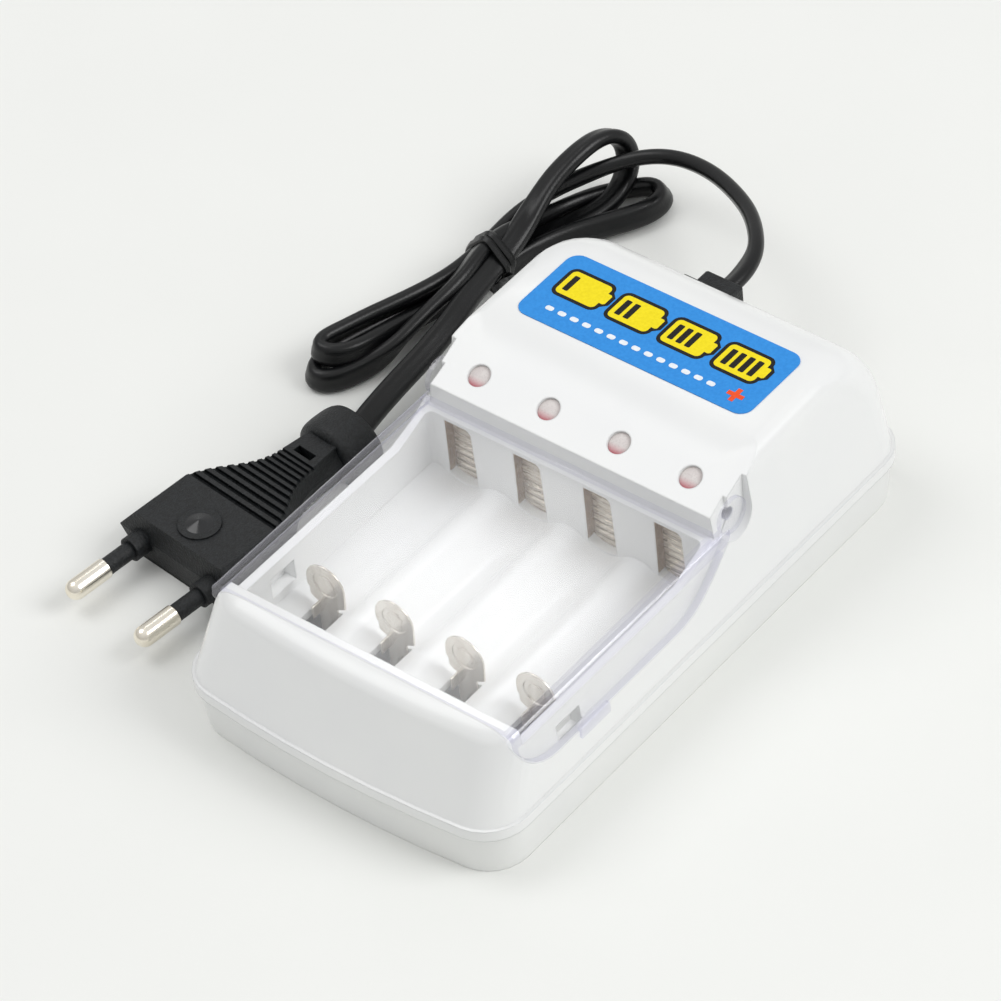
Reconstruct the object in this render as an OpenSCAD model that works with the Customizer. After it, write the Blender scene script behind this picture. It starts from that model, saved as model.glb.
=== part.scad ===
// Mains charger for four AA or AAA cells, with a clear hinged lid, a tied cord and a two-pin plug.
// Millimetres. +X right, +Y towards the head, +Z up. The origin is the middle of the base.

/* [Case] */
// Width over the flange band
case_w = 72.2; // [68:0.2:80]
// Length over the flange band
case_l = 122.2; // [118:0.2:130]
// Height of the head
case_h = 37.4; // [36:0.1:42]
// Height of the parting line
parting_z = 9.2; // [8.6:0.1:9.6]
// Height of the flange band above the parting line
band_h = 2.3; // [1.5:0.1:3]
// How far the flange band stands proud of the walls
band_out = 0.7; // [0.4:0.1:1.2]
// Wall thickness of both halves
wall = 2; // [1.6:0.1:2.4]
// Plan radius of the corners
corner_r = 8; // [5:0.5:10]
// Radius of the bowed front wall
bow_r = 260; // [180:10:400]
// Draft of the upper side walls, degrees
side_draft = 7; // [4:0.5:8]
// How much narrower the base is than the parting line, each side
base_inset = 0.8; // [0.2:0.1:1.5]

/* [Head] */
// Step from the bay's rear wall back to the front of the head
head_step = 1.8; // [1.4:0.1:2.2]
// Height of the foot of the LED slope
slope_foot_z = 30.3; // [30:0.1:31]
// Length of the LED slope, along the part
slope_l = 15.4; // [12.4:0.2:17.4]
// Radius of the rear of the head
rear_r = 16.5; // [10:0.5:17]
// Draft of the rear wall, degrees
rear_draft = 5.5; // [3:0.5:8]
// Radius along the side edges of the head
edge_r = 3; // [1.5:0.5:4]

/* [Front wall] */
// Height of the crease of the front wall
front_crease_z = 25; // [23:0.1:25.5]
// How far the front wall leans back up to the crease
front_lean = 6.6; // [4:0.2:8]

/* [Battery bay] */
// Distance between cells
pitch = 15.6; // [15.4:0.1:16.2]
// Distance from the foot of the front wall to the bay
bay_inset = 14.2; // [13.8:0.1:14.8]
// Length of the bay
bay_l = 53; // [52.6:0.1:53.4]
// Lowest line of each trough
floor_z = 11; // [10.8:0.1:11.4]
// Radius of a trough
trough_r = 7.6; // [7.3:0.1:8]
// Height of the ridges between the troughs
ridge_h = 2.5; // [1.5:0.1:3]
// Thickness of the bay's floor
floor_t = 1.6; // [1.4:0.1:1.7]
// Height of the side lips inside the lid
lip_z = 22.5; // [21.5:0.1:23.5]

/* [Lid] */
// Height of the lid's top face
lid_top_z = 27.5; // [27.2:0.1:27.8]
// Thickness of the lid
lid_t = 1.4; // [1.2:0.1:1.6]
// How far the lid's front edge lies in front of the bay
lid_overlap = 2.7; // [2.2:0.1:3.4]
// Lower edge of the side skirts
skirt_z = 17.3; // [16.5:0.1:18]
// Fold radius between the top and the skirts
fold_r = 2.6; // [2:0.1:3.5]
// Clearance around the lid
lid_gap = 0.3; // [0.2:0.05:0.4]
// Rim along the lid's rear edge, above its top face
rim_h = 0.7; // [0.3:0.1:1]

/* [Hinge] */
// Hinge axis, distance behind the head's front
hinge_back = 4.2; // [4:0.1:4.6]
// Hinge axis height
hinge_z = 28.6; // [28.3:0.1:28.9]
// Radius of the ears
ear_r = 3.6; // [3.2:0.1:3.8]
// Radius of the hinge pins
pin_r = 1.2; // [0.9:0.1:1.5]
// Running clearance of the hinge pins
pin_gap = 0.05; // [0.02:0.01:0.09]

/* [Contacts] */
// Width of a contact window at its foot
window_w = 7.1; // [6:0.1:8]
// Top of the contact windows
window_top_z = 25; // [24:0.1:25.2]
// Sheet thickness of the contacts
sheet_t = 0.4; // [0.3:0.05:0.5]
// Radius of a negative slider's round head
slider_r = 4.3; // [3.8:0.1:4.6]
// Height of the slider heads' centres
slider_z = 17.6; // [17:0.1:18.5]
// Free gap from the rear wall to a slider at rest
slider_rest = 38.3; // [37:0.1:39.5]
// Travel of a slider
slider_travel = 11; // [9:0.5:11.2]
// Radius of a slider spring, outside
spring_r = 1.9; // [1.5:0.1:2.1]
// Wire radius of a slider spring
spring_wire_r = 0.25; // [0.2:0.05:0.3]
// Turns of a slider spring
spring_turns = 9; // [6:1:10]

/* [Lamps and label] */
// Radius of a lamp hole
led_hole_r = 2.2; // [2.1:0.1:2.5]
// Radius of a lamp
led_r = 1.9; // [1.4:0.1:1.9]
// Distance of the lamp holes up the slope
led_up = 5.2; // [4.5:0.1:7]
// Label width
label_w = 51.3; // [40:0.1:54]
// Label length
label_l = 18.2; // [12:0.1:18.6]
// Label thickness
label_t = 0.2; // [0.1:0.05:0.3]

/* [Inside] */
// Thickness of the circuit board
board_t = 1.6; // [1:0.1:2]
// Height of the board's underside
board_z = 11.4; // [11:0.1:12]
// Shank radius of the case screws
screw_r = 1.3; // [1:0.1:1.5]
// Head radius of the case screws
screw_head_r = 2.5; // [2.1:0.1:2.8]

/* [Cord and plug] */
// Width of the flat cord
cord_w = 4.8; // [4.2:0.1:5.4]
// Thickness of the flat cord
cord_t = 3; // [2.6:0.1:3.4]
// Sideways place of the strain relief
relief_x = -8; // [-20:0.5:20]
// Height of the strain relief
relief_z = 22; // [19:0.5:22.5]
// Radius of the plug's pins
plug_pin_r = 2; // [1.9:0.05:2.1]
// Distance between the plug's pins
plug_pitch = 18.2; // [17.5:0.1:19]
// Free length of the plug's pins
plug_pin_l = 18; // [17:0.5:20]
// Thickness of the plug's body
plug_h = 10; // [9.4:0.1:11]
// Width of the plug's body
plug_w = 29.8; // [28.6:0.1:31]

/* [Hidden] */
$fn = 48;
steps = 6;
far = 200;
over = 0.01;
fit = 0.05;

band_top = parting_z + band_h;
half_w = case_w / 2;
half_l = case_l / 2;
wall_w = half_w - band_out;
wall_l = half_l - band_out;
slots = [for (i = [0:3]) (i - 1.5) * pitch];

bay_front_y = -wall_l + bay_inset;
bay_rear_y = bay_front_y + bay_l;
bay_half = 2 * pitch - 0.7;
wall_back_y = bay_rear_y + wall;
head_front_y = bay_rear_y + head_step;
crease_y = head_front_y + slope_l;
lid_front_y = bay_front_y - lid_overlap;
lid_low_z = lid_top_z - lid_t;
ledge_z = lid_low_z - lid_gap;
ledge_t = 1;
ledge_low_z = ledge_z - ledge_t;

hinge_y = head_front_y + hinge_back;
ear_x = side_x(hinge_z) - lid_t;
pocket_r = ear_r + 0.9;
lid_rear_y = head_front_y - 0.7;
skirt_rise_y = hinge_y - 18.8;
skirt_dip_y = lid_front_y + 8.9;
fold_ease = 0.4;
rim_l = 1.5;
lip_rise_y = bay_rear_y - 8.8;
latch_y = [bay_front_y + 8.3, bay_front_y + 14.6];
latch_z = [15.3, 19.8];
latch_depth = 2.6;
nub_y = [lid_front_y + 14.3, lid_front_y + 22.1];
nub_z = [skirt_z - 1.4, skirt_z + 0.8];
nub_out = 0.9;

rear_zc = case_h - rear_r;
rear_wall_y = wall_l - (rear_zc - band_top) * tan(rear_draft);
crease_front_y = -wall_l + front_lean;
slope_a = atan2(case_h - slope_foot_z, crease_y - head_front_y);

wave_a = 2 * atan(ridge_h / (pitch / 2));
crest_r = pitch / 2 / sin(wave_a) - trough_r;

plate_margin = 0.8;
plate_foot_w = 2.8;
plate_foot_l = 3;
rib_count = 7;
rib_r = 0.45;
rib_l = window_w - 2.4;

slider_y = bay_rear_y - slider_rest;
slot_half = 2.8;
stem_half = 2.2;
stem_low_z = 3.4;
dish_r = 2.7;
dish_hub_r = 1.7;
dish_h = 0.35;
foot_l = 2.4;
slot_front_y = slider_y - slider_travel - foot_l - 0.4;
spring_z = 5.4;
bus_y = -wall_l + 7.4;
bus_low_z = wall;
bus_h = 6;
bus_half = 1.5 * pitch + 2;
bus_seat_t = 1.4;

screw_front_y = -wall_l + 9.4;
screw_rear_y = wall_l - 11.9;
boss_r = screw_head_r + 1.6;
screw_x = 1.5 * pitch + spring_r + boss_r + 0.1;
screw_spots = [for (x = [-1, 1]) for (y = [screw_front_y, screw_rear_y]) [x * screw_x, y]];
post_r = 3;
shelf_z = 4;
boss_top_z = 6.6;
screw_tip_z = 14;

board_half = wall_w - 10.5;
board_front_y = wall_back_y + 1.7;
board_rear_y = wall_l - 9.4;
board_top_z = board_z + board_t;
board_post_r = 2.5;
post_inset = 6;
board_post_y = [board_front_y + post_inset, board_rear_y - post_inset];
board_spots = [for (x = [-1, 1]) for (y = board_post_y) [x * (board_half - post_inset), y]];
parts_back = 12;
transformer_in = 14.9;
capacitor_in = 11.9;
transformer_at = [board_half - transformer_in, board_rear_y - parts_back];
transformer_w = 16;
transformer_l = 14;
transformer_h = 14;
bobbin_w = 11;
bobbin_l = 10;
bobbin_flange = 3;
core_l = 6;
core_top = 2;
capacitor_at = [capacitor_in - board_half, board_rear_y - parts_back];
capacitor_r = 5;
capacitor_h = 16;
capacitor_rim = 0.5;

relief_w = 12;
relief_h = 9;
relief_plate = 1.6;
relief_neck_w = 8.4;
relief_neck_h = 6;
relief_out = 4.5;
relief_seat_y = rear_wall_y - 0.9;
relief_in_y = relief_seat_y - wall - relief_plate;
relief_end_y = relief_seat_y + relief_plate + relief_out;

plug_at = [-58.4, -33.5];
plug_turn = -6.5;
plug_z = plug_h / 2 + 0.05;
plug_tip_l = 9;
plug_ridge_z = 0.9;
plug_side_in = 3.5;
plug_nose_top = 1;
plug_nose_low = 0.5;
plug_wide_l = 13.8;
plug_neck_l = 31;
plug_neck_w = 10.4;
plug_rib_n = 11;
plug_rib_step = 1.95;
plug_rib_ease = 0.036;
plug_rib_d = 0.7;
plug_boss_wall = 0.9;
plug_boss_l = 3;
plug_disc_y = 6.5;
collar_at = 38;
collar_l = 7;
collar_r = 6.6;
collar_low = 1.15;

// Route of the cord from the strain relief to the hank, and from the hank to the plug
lead_route = [
    [-8, 64, 22], [-8.1, 70.5, 22], [-10.4, 77, 21.5], [-13.9, 81.6, 20.5], [-19.5, 87, 19],
    [-25.8, 91.1, 17.5], [-32.7, 94.5, 16], [-39.2, 96.5, 14.5], [-45.3, 97.2, 13],
    [-49.7, 96.2, 12], [-53.2, 94.2, 11], [-56.2, 91.4, 10]
];
plug_route = [
    [-53.3, 11.2, 5.05], [-54.2, 17, 5.2], [-54.9, 24, 5.4], [-55.3, 32, 5.8], [-55.7, 38.5, 6.3],
    [-56.8, 44.5, 6.6], [-58.2, 51, 6.8]
];
hank_tie = [-62.5, 61.5];
hank_tie_r = 4.6;
hank_left = [-71, 26];
hank_left_r = 7;
hank_right = [-54.5, 91];
hank_right_r = 8.6;
hank_h = 10.6;
hank_low = 0.3;
loop_from = [-60.6, 66.5];
loop_to = [-58, 96.6];
loop_r = 2.5;
loop_h = 16;
tie_t = 1;
tie_w = 2.4;
tie_turn = 8;

// Points along an arc, both ends included
function arc(c, r, a0, a1, n = steps) =
    [for (i = [0:n]) let (a = a0 + (a1 - a0) * i / n) [c[0] + r * cos(a), c[1] + r * sin(a)]];

// The same arc without its ends
function arc_inside(c, r, a0, a1, n) =
    [for (i = [1:n - 1]) let (a = a0 + (a1 - a0) * i / n) [c[0] + r * cos(a), c[1] + r * sin(a)]];

// Points along a cubic curve
function bezier(p, n = 8) = [
    for (i = [0:n])
        let (t = i / n, s = 1 - t)
        s * s * s * p[0] + 3 * s * s * t * p[1] + 3 * s * t * t * p[2] + t * t * t * p[3]
];

// Plan outline with straight sides, a bowed front and tangent corners
function plan(hw, front, rear, r) =
    let (
        reach = bow_r - r,
        yc = front + bow_r - sqrt(reach * reach - (hw - r) * (hw - r)),
        b = asin((hw - r) / reach)
    )
    concat(
        arc([hw - r, rear - r], r, 0, 90),
        arc([r - hw, rear - r], r, 90, 180),
        arc([r - hw, yc], r, 180, 270 - b),
        arc_inside([0, front + bow_r], bow_r, 270 - b, 270 + b, steps),
        arc([hw - r, yc], r, 270 + b, 360)
    );

// Half width of the upper walls at a height
function side_x(z) =
    let (k = max(0, z - (case_h - edge_r)), s = wall_w - (z - band_top) * tan(side_draft))
    s - edge_r + sqrt(edge_r * edge_r - k * k);

// Rear of the head at a height
function rear_y(z) =
    let (k = z - rear_zc)
    k <= 0 ? rear_wall_y - k * tan(rear_draft) : rear_wall_y - rear_r + sqrt(rear_r * rear_r - k * k);

// Front wall at a height: it leans back to the crease, then rounds over to the lid
function front_y(z) =
    z <= front_crease_z
        ? -wall_l + front_lean * (z - band_top) / (front_crease_z - band_top)
        : let (s = sqrt(max(0, lid_top_z - z) / (lid_top_z - front_crease_z)))
          lid_front_y + (crease_front_y - lid_front_y) * (s * s + 1.35 * s * (1 - s));

// Skin over stacked outlines of equal point counts, given as [z, points]
module loft(levels) {
    n = len(levels[0][1]);
    rows = len(levels);
    points = [for (l = levels) for (p = l[1]) [p[0], p[1], l[0]]];
    skin = [
        for (k = [0:rows - 2]) for (i = [0:n - 1])
            let (a = k * n + i, b = k * n + (i + 1) % n)
            each [[a, a + n, b + n], [a, b + n, b]]
    ];
    low = [for (i = [0:n - 1]) i];
    high = [for (i = [n - 1:-1:0]) (rows - 1) * n + i];
    polyhedron(points, concat([low], skin, [high]));
}

// Extrudes a [y, z] outline across the part
module across(x0, x1) {
    translate([x0, 0, 0]) rotate([90, 0, 90]) linear_extrude(x1 - x0) children();
}

// Extrudes an [x, z] outline along the part
module along(y0, y1) {
    translate([0, y1, 0]) rotate([90, 0, 0]) linear_extrude(y1 - y0) children();
}

module box(low, high) {
    translate(low) cube(high - low);
}

// Block of a width and height about the Y axis
module slab(w, h, y0, y1) {
    box([-w / 2, y0, -h / 2], [w / 2, y1, h / 2]);
}

// Block of a width and length about the Z axis
module block(w, l, z0, z1) {
    box([-w / 2, -l / 2, z0], [w / 2, l / 2, z1]);
}

// Both mirrored sides
module sides() {
    children();
    mirror([1, 0, 0]) children();
}

// Front half of the upper form, up to the lid
module front_loft(inset = 0) {
    round_h = lid_top_z - front_crease_z;
    zs = concat([band_top], [for (i = [0:4]) front_crease_z + round_h * sin(i * 22.5)]);
    loft([
        for (z = zs)
            [z - inset, plan(side_x(z) - inset, front_y(z) + inset, wall_l - inset, corner_r - inset / 2)]
    ]);
}

// Head of the upper form, with its rounded rear and side edges
module head_loft(inset = 0) {
    zs = concat([band_top], [for (i = [0:8]) rear_zc + rear_r * sin(i * 11.25)]);
    loft([
        for (z = zs)
            [z - inset, plan(side_x(z) - inset, -wall_l, rear_y(z) - inset, corner_r - inset / 2)]
    ]);
}

// Side outline of the head, behind the lid
module head_profile(inset = 0) {
    drop = inset / cos(slope_a);
    polygon([
        [head_front_y + inset, 0],
        [head_front_y + inset, slope_foot_z - drop + inset * tan(slope_a)],
        [crease_y, case_h - drop],
        [crease_y, far],
        [far, far],
        [far, 0]
    ]);
}

// Side outline of the lid: front curve, skirt edge and rise to the hinge, grown by a clearance
module lid_profile(gap = 0, top = lid_top_z) {
    lid_curve = bezier([
        [lid_front_y - gap, lid_top_z - 0.9],
        [lid_front_y - 1.3 - gap, skirt_z + 5.2 - gap],
        [skirt_dip_y - 5.5, skirt_z - gap],
        [skirt_dip_y, skirt_z - gap]
    ]);
    rise_curve = bezier([
        [skirt_rise_y, skirt_z - gap],
        [skirt_rise_y + 6, skirt_z + 0.3 - gap],
        [skirt_rise_y + 10, skirt_z + 3.7 - gap],
        [hinge_y - 0.64 * ear_r, hinge_z - 0.77 * ear_r - gap]
    ]);
    polygon(concat(
        [[lid_front_y - gap, top]], lid_curve, rise_curve, [[hinge_y, hinge_z - gap], [hinge_y, top]]
    ));
}

// Cross-section between two heights outside the drafted side walls
module outside_wall(inset) {
    polygon([
        [side_x(band_top) - inset, band_top],
        [side_x(case_h - edge_r) - inset, case_h - edge_r],
        [side_x(case_h - edge_r) - inset, far],
        [far, far],
        [far, band_top]
    ]);
}

// Wavy floor line across the bay, moved down by a depth
function floor_line(down) = [
    for (s = slots)
        each concat(
            arc_inside([s - pitch / 2, floor_z + ridge_h - crest_r], crest_r - down, 90, 90 - wave_a, 4),
            arc([s, floor_z + trough_r], trough_r + down, 270 - wave_a, 270 + wave_a),
            arc_inside([s + pitch / 2, floor_z + ridge_h - crest_r], crest_r - down, 90 + wave_a, 90, 4)
        )
];

// Everything above the floor line
module above_floor(down = 0) {
    line = floor_line(down);
    edge = floor_z + ridge_h - down;
    polygon(concat([[-far, far], [-far, edge]], line, [[far, edge], [far, far]]));
}

// Space for the cells, open at the top
module bay_space() {
    r = 1.2;
    intersection() {
        along(bay_front_y, bay_rear_y) above_floor();
        linear_extrude(far)
            polygon(concat(
                arc([bay_half - r, bay_rear_y - r], r, 0, 90, 3),
                arc([r - bay_half, bay_rear_y - r], r, 90, 180, 3),
                arc([r - bay_half, bay_front_y + r], r, 180, 270, 3),
                arc([bay_half - r, bay_front_y + r], r, 270, 360, 3)
            ));
    }
}

// Hollow of the upper half: inside the head, under the bay and behind the front wall
module upper_hollow() {
    difference() {
        intersection() {
            head_loft(wall);
            across(-far, far) head_profile(wall);
            box([-far, head_front_y + wall, 0], [far, far, far]);
        }
        sides() box(
            [side_x(hinge_z) - lid_t - lid_gap - wall, -far, 0],
            [far, hinge_y + pocket_r + wall, far]
        );
    }
    box([-bay_half, wall_back_y, parting_z - 1], [bay_half, head_front_y + wall + over, ledge_low_z]);
    difference() {
        intersection() {
            front_loft(wall);
            box([-far, -far, 0], [far, bay_front_y - wall, far]);
        }
        sides() box([bay_half, skirt_dip_y - 9, parting_z + 1], [far, far, far]);
        box([-far, lid_front_y - wall, ledge_z - wall], [far, far, far]);
    }
    difference() {
        box(
            [-bay_half - 1, bay_front_y - wall - over, parting_z - 1],
            [bay_half + 1, wall_back_y + over, floor_z + ridge_h]
        );
        along(-far, far) above_floor(floor_t);
    }
    difference() {
        linear_extrude(2 * band_top, center = true)
            polygon(plan(wall_w - wall, -wall_l + wall, wall_l - wall, corner_r - wall / 2));
        along(bay_front_y - wall, wall_back_y) above_floor(floor_t);
    }
}

// Contact window: upright sides, a slanted right side and a foot that follows the trough
module window_cut(s) {
    half = window_w / 2;
    along(bay_rear_y - 1, wall_back_y + 1)
        intersection() {
            polygon([
                [s - half, 0], [s + half, 0], [s + half - 1.2, window_top_z - 0.8],
                [s + half - 2, window_top_z], [s - half, window_top_z]
            ]);
            translate([s, floor_z + trough_r + 0.3]) union() {
                circle(trough_r);
                translate([-far, 0]) square(2 * far);
            }
        }
}

// Frame on the LED slope at a slot: X across, Z out of the surface
module on_slope(s) {
    translate([s, head_front_y + led_up * cos(slope_a), slope_foot_z + led_up * sin(slope_a)])
        rotate([slope_a, 0, 0]) children();
}

// Posts that the case screws bite into, up to the inside of the walls
module screw_posts() {
    intersection() {
        for (p = screw_spots) translate([p[0], p[1], boss_top_z]) cylinder(r = post_r, h = case_h);
        union() {
            box([-far, -far, 0], [far, far, band_top + over]);
            intersection() {
                head_loft(wall / 2);
                box([-far, 0, 0], [far, far, far]);
            }
            intersection() {
                front_loft(wall / 2);
                box([-far, -far, 0], [far, 0, far]);
            }
        }
    }
}

module upper_case() {
    color("white")
    difference() {
        union() {
            difference() {
                union() {
                    intersection() {
                        front_loft();
                        box([-far, -far, 0], [far, head_front_y + 1, far]);
                    }
                    intersection() {
                        head_loft();
                        across(-far, far) head_profile();
                    }
                    translate([0, 0, parting_z])
                        linear_extrude(band_h) polygon(plan(half_w, -half_l, half_l, corner_r + band_out));
                }
                upper_hollow();
            }
            screw_posts();
        }
        bay_space();
        box([-far, lid_front_y - lid_gap, ledge_z], [far, head_front_y, far]);
        sides() {
            intersection() {
                along(-far, far) skirt_rebate();
                across(0, far) lid_profile(lid_gap, far);
            }
            translate([ear_x - lid_gap, hinge_y, hinge_z]) {
                rotate([0, 90, 0]) cylinder(r = pocket_r, h = far);
                box([0, -over, 0], [far, pocket_r, far]);
            }
            across(bay_half - 1, far)
                polygon([
                    [bay_front_y, lip_z], [lip_rise_y, lip_z], [bay_rear_y, ledge_z],
                    [bay_rear_y, far], [bay_front_y, far]
                ]);
            translate([0, hinge_y, hinge_z]) rotate([0, 90, 0]) cylinder(r = pin_r + pin_gap, h = far);
            box([bay_half - 1, latch_y[0], latch_z[0]], [bay_half + latch_depth, latch_y[1], latch_z[1]]);
        }
        for (s = slots) {
            window_cut(s);
            on_slope(s) cylinder(r = led_hole_r, h = 4 * wall, center = true);
            box(
                [s - slot_half, slot_front_y, parting_z - 1],
                [s + slot_half, slider_y + lid_gap, floor_z + trough_r]
            );
        }
        for (p = screw_spots) translate([p[0], p[1], boss_top_z - 1])
            cylinder(r = screw_r + fit, h = screw_tip_z - boss_top_z + 1.5);
        translate([relief_x, 0, relief_z]) {
            slab(relief_w + 2 * fit, relief_h + 2 * fit, relief_seat_y, far);
            slab(relief_w + 2 * fit, relief_h + 2 * fit, relief_in_y - 1, relief_in_y + relief_plate);
            slab(relief_neck_w, relief_neck_h, relief_in_y, far);
        }
    }
}

module lower_case() {
    base_w = wall_w - base_inset;
    base_l = wall_l - base_inset;
    color("whitesmoke")
    difference() {
        union() {
            difference() {
                loft([
                    [0, plan(base_w, -base_l, base_l, corner_r)],
                    [parting_z, plan(wall_w, -wall_l, wall_l, corner_r)]
                ]);
                loft([
                    [wall, plan(base_w - wall, wall - base_l, base_l - wall, corner_r - wall / 2)],
                    [parting_z + 1, plan(wall_w - wall, wall - wall_l, wall_l - wall, corner_r - wall / 2)]
                ]);
            }
            for (p = screw_spots) translate([p[0], p[1], over]) cylinder(r = boss_r, h = boss_top_z - over);
            for (p = board_spots) translate([p[0], p[1], wall - over])
                cylinder(r = board_post_r, h = board_z - wall + over);
            box(
                [-bus_half - 1, bus_y - sheet_t - bus_seat_t, wall - over],
                [bus_half + 1, bus_y - sheet_t, bus_low_z + bus_h]
            );
        }
        for (p = screw_spots) translate([p[0], p[1], -1]) {
            cylinder(r = screw_head_r + 0.3, h = shelf_z + 1);
            cylinder(r = screw_r + 0.3, h = boss_top_z + 2);
        }
    }
}

// Section of the lid: drafted skirts, folded edges and a flat top
module lid_section(inset = 0) {
    r = fold_r - inset;
    zc = lid_top_z - fold_r;
    xc = side_x(zc) - fold_r;
    low = band_top;
    polygon(concat(
        [[side_x(low) - inset, low]],
        arc([xc, zc], r, 0, 90),
        arc([-xc, zc], r, 90, 180),
        [[inset - side_x(low), low]]
    ));
}

// Section of the rebates that the skirts lie in, eased at the lid's folds
module skirt_rebate() {
    difference() {
        outside_wall(lid_t + lid_gap + fold_ease);
        lid_section(lid_t + lid_gap);
    }
}

// Section of the thumb nub, which hangs over the case wall with a gap
module thumb_nub() {
    inner = side_x(nub_z[0]) + lid_gap / 2;
    outer = side_x(skirt_z) + nub_out;
    root = side_x(skirt_z) - lid_t / 2;
    polygon([
        [inner, nub_z[0]], [outer, nub_z[0]], [outer, nub_z[1]],
        [root, nub_z[1]], [root, skirt_z + over], [inner, skirt_z + over]
    ]);
}

module battery_lid() {
    ear_out = side_x(hinge_z + ear_r);
    color([0.85, 0.85, 0.95, 0.4])
    union() {
        intersection() {
            difference() {
                along(lid_front_y, hinge_y) lid_section();
                along(-far, far) translate([0, -over]) lid_section(lid_t);
                box([-ear_x, lid_rear_y, 0], [ear_x, far, far]);
            }
            across(-far, far) lid_profile();
        }
        box([-ear_x, lid_rear_y - rim_l, lid_low_z + over], [ear_x, lid_rear_y, lid_top_z + rim_h]);
        sides() {
            translate([0, hinge_y, hinge_z]) rotate([0, 90, 0]) {
                translate([0, 0, ear_x]) cylinder(r = ear_r, h = ear_out - ear_x);
                translate([0, 0, ear_x - wall]) cylinder(r = pin_r, h = wall + over);
            }
            along(nub_y[0], nub_y[1]) thumb_nub();
        }
    }
}

module label() {
    r = 2.6;
    hw = label_w / 2;
    y0 = crease_y + 2.3;
    y1 = y0 + label_l;
    color([0.23, 0.58, 0.89])
    translate([0, 0, case_h])
        linear_extrude(label_t)
            polygon(concat(
                arc([hw - r, y1 - r], r, 0, 90),
                arc([r - hw, y1 - r], r, 90, 180),
                arc([r - hw, y0 + r], r, 180, 270),
                arc([hw - r, y0 + r], r, 270, 360)
            ));
}

// Ribbed plate behind a window, with a foot on the circuit board
module positive_contact(s) {
    half = window_w / 2 + plate_margin;
    y0 = wall_back_y;
    top_z = ledge_low_z - lid_gap;
    rib_from = floor_z + 2.5;
    rib_step = (top_z - 2 - rib_from) / (rib_count - 1);
    color("silver")
    union() {
        box([s - half, y0, floor_z - plate_margin], [s + half, y0 + sheet_t, top_z]);
        for (i = [0:rib_count - 1])
            intersection() {
                translate([s, y0 + sheet_t / 2, rib_from + i * rib_step]) rotate([0, 90, 0])
                    cylinder(r = rib_r, h = rib_l, center = true);
                box([-far, y0 - rib_r, 0], [far, y0 + sheet_t, far]);
            }
        box(
            [s - plate_foot_w / 2, y0, board_top_z],
            [s + plate_foot_w / 2, board_front_y + plate_foot_l, board_top_z + sheet_t]
        );
    }
}

// Stamped plate with a round dished head, a stem through the floor and a spring seat
module negative_slider(s) {
    shoulder_z = floor_z + ridge_h + 0.2;
    color("silver")
    translate([s, slider_y, 0]) {
        difference() {
            along(-sheet_t, 0)
                union() {
                    translate([0, slider_z]) circle(slider_r);
                    polygon([
                        [-slider_r, slider_z], [-slider_r, slider_z - 1.8], [-slider_r + 0.6, slider_z - 2.2],
                        [-slider_r + 0.4, shoulder_z], [-stem_half, shoulder_z - 1], [-stem_half, stem_low_z],
                        [stem_half, stem_low_z], [stem_half, shoulder_z - 1], [slider_r - 0.2, shoulder_z],
                        [slider_r, slider_z]
                    ]);
                }
            slider_ring(-sheet_t - 1, -sheet_t / 2);
        }
        slider_ring(-over, dish_h);
        box([-stem_half, -foot_l, floor_z - 1], [sheet_t - stem_half, over - sheet_t, shoulder_z - 1]);
    }
}

// Ring pressed through a slider's head, hollow in front and proud behind
module slider_ring(y0, y1) {
    translate([0, y0, slider_z]) rotate([-90, 0, 0]) difference() {
        cylinder(r = dish_r, h = y1 - y0);
        translate([0, 0, -1]) cylinder(r = dish_hub_r, h = y1 - y0 + 2);
    }
}

// Coil of wire between the slider and the bus strip, swept along a helix
module slider_spring(s) {
    y0 = bus_y + spring_wire_r;
    y1 = slider_y - sheet_t - spring_wire_r;
    around = 10;
    ring = 5;
    r = spring_r - spring_wire_r;
    rows = spring_turns * around;
    points = [
        for (k = [0:rows]) for (j = [0:ring - 1])
            let (a = 360 * k / around, b = 360 * j / ring, q = r + spring_wire_r * cos(b))
            [s + q * cos(a), y0 + (y1 - y0) * k / rows + spring_wire_r * sin(b), spring_z + q * sin(a)]
    ];
    skin = [
        for (k = [0:rows - 1]) for (j = [0:ring - 1])
            let (a = k * ring + j, b = k * ring + (j + 1) % ring)
            each [[a, b + ring, a + ring], [a, b, b + ring]]
    ];
    first = [for (j = [ring - 1:-1:0]) j];
    last = [for (j = [0:ring - 1]) rows * ring + j];
    color("lightgray") polyhedron(points, concat([first], skin, [last]));
}

module negative_bus() {
    color("silver") box([-bus_half, bus_y - sheet_t, bus_low_z], [bus_half, bus_y, bus_low_z + bus_h]);
}

module circuit_board() {
    color([0.62, 0.42, 0.2])
        box([-board_half, board_front_y, board_z], [board_half, board_rear_y, board_top_z]);
}

module transformer() {
    color("gold")
    translate([transformer_at[0], transformer_at[1], board_top_z]) union() {
        top = transformer_h - core_top;
        block(transformer_w, transformer_l, 0, bobbin_flange);
        block(bobbin_w, bobbin_l, bobbin_flange, top);
        block(transformer_w, transformer_l, top, transformer_h);
        block(transformer_w, core_l, bobbin_flange - over, top + over);
    }
}

module filter_capacitor() {
    color("midnightblue")
        translate([capacitor_at[0], capacitor_at[1], board_top_z]) union() {
            cylinder(r = capacitor_r, h = capacitor_h - capacitor_rim);
            cylinder(r = capacitor_r - capacitor_rim, h = capacitor_h);
        }
}

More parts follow.
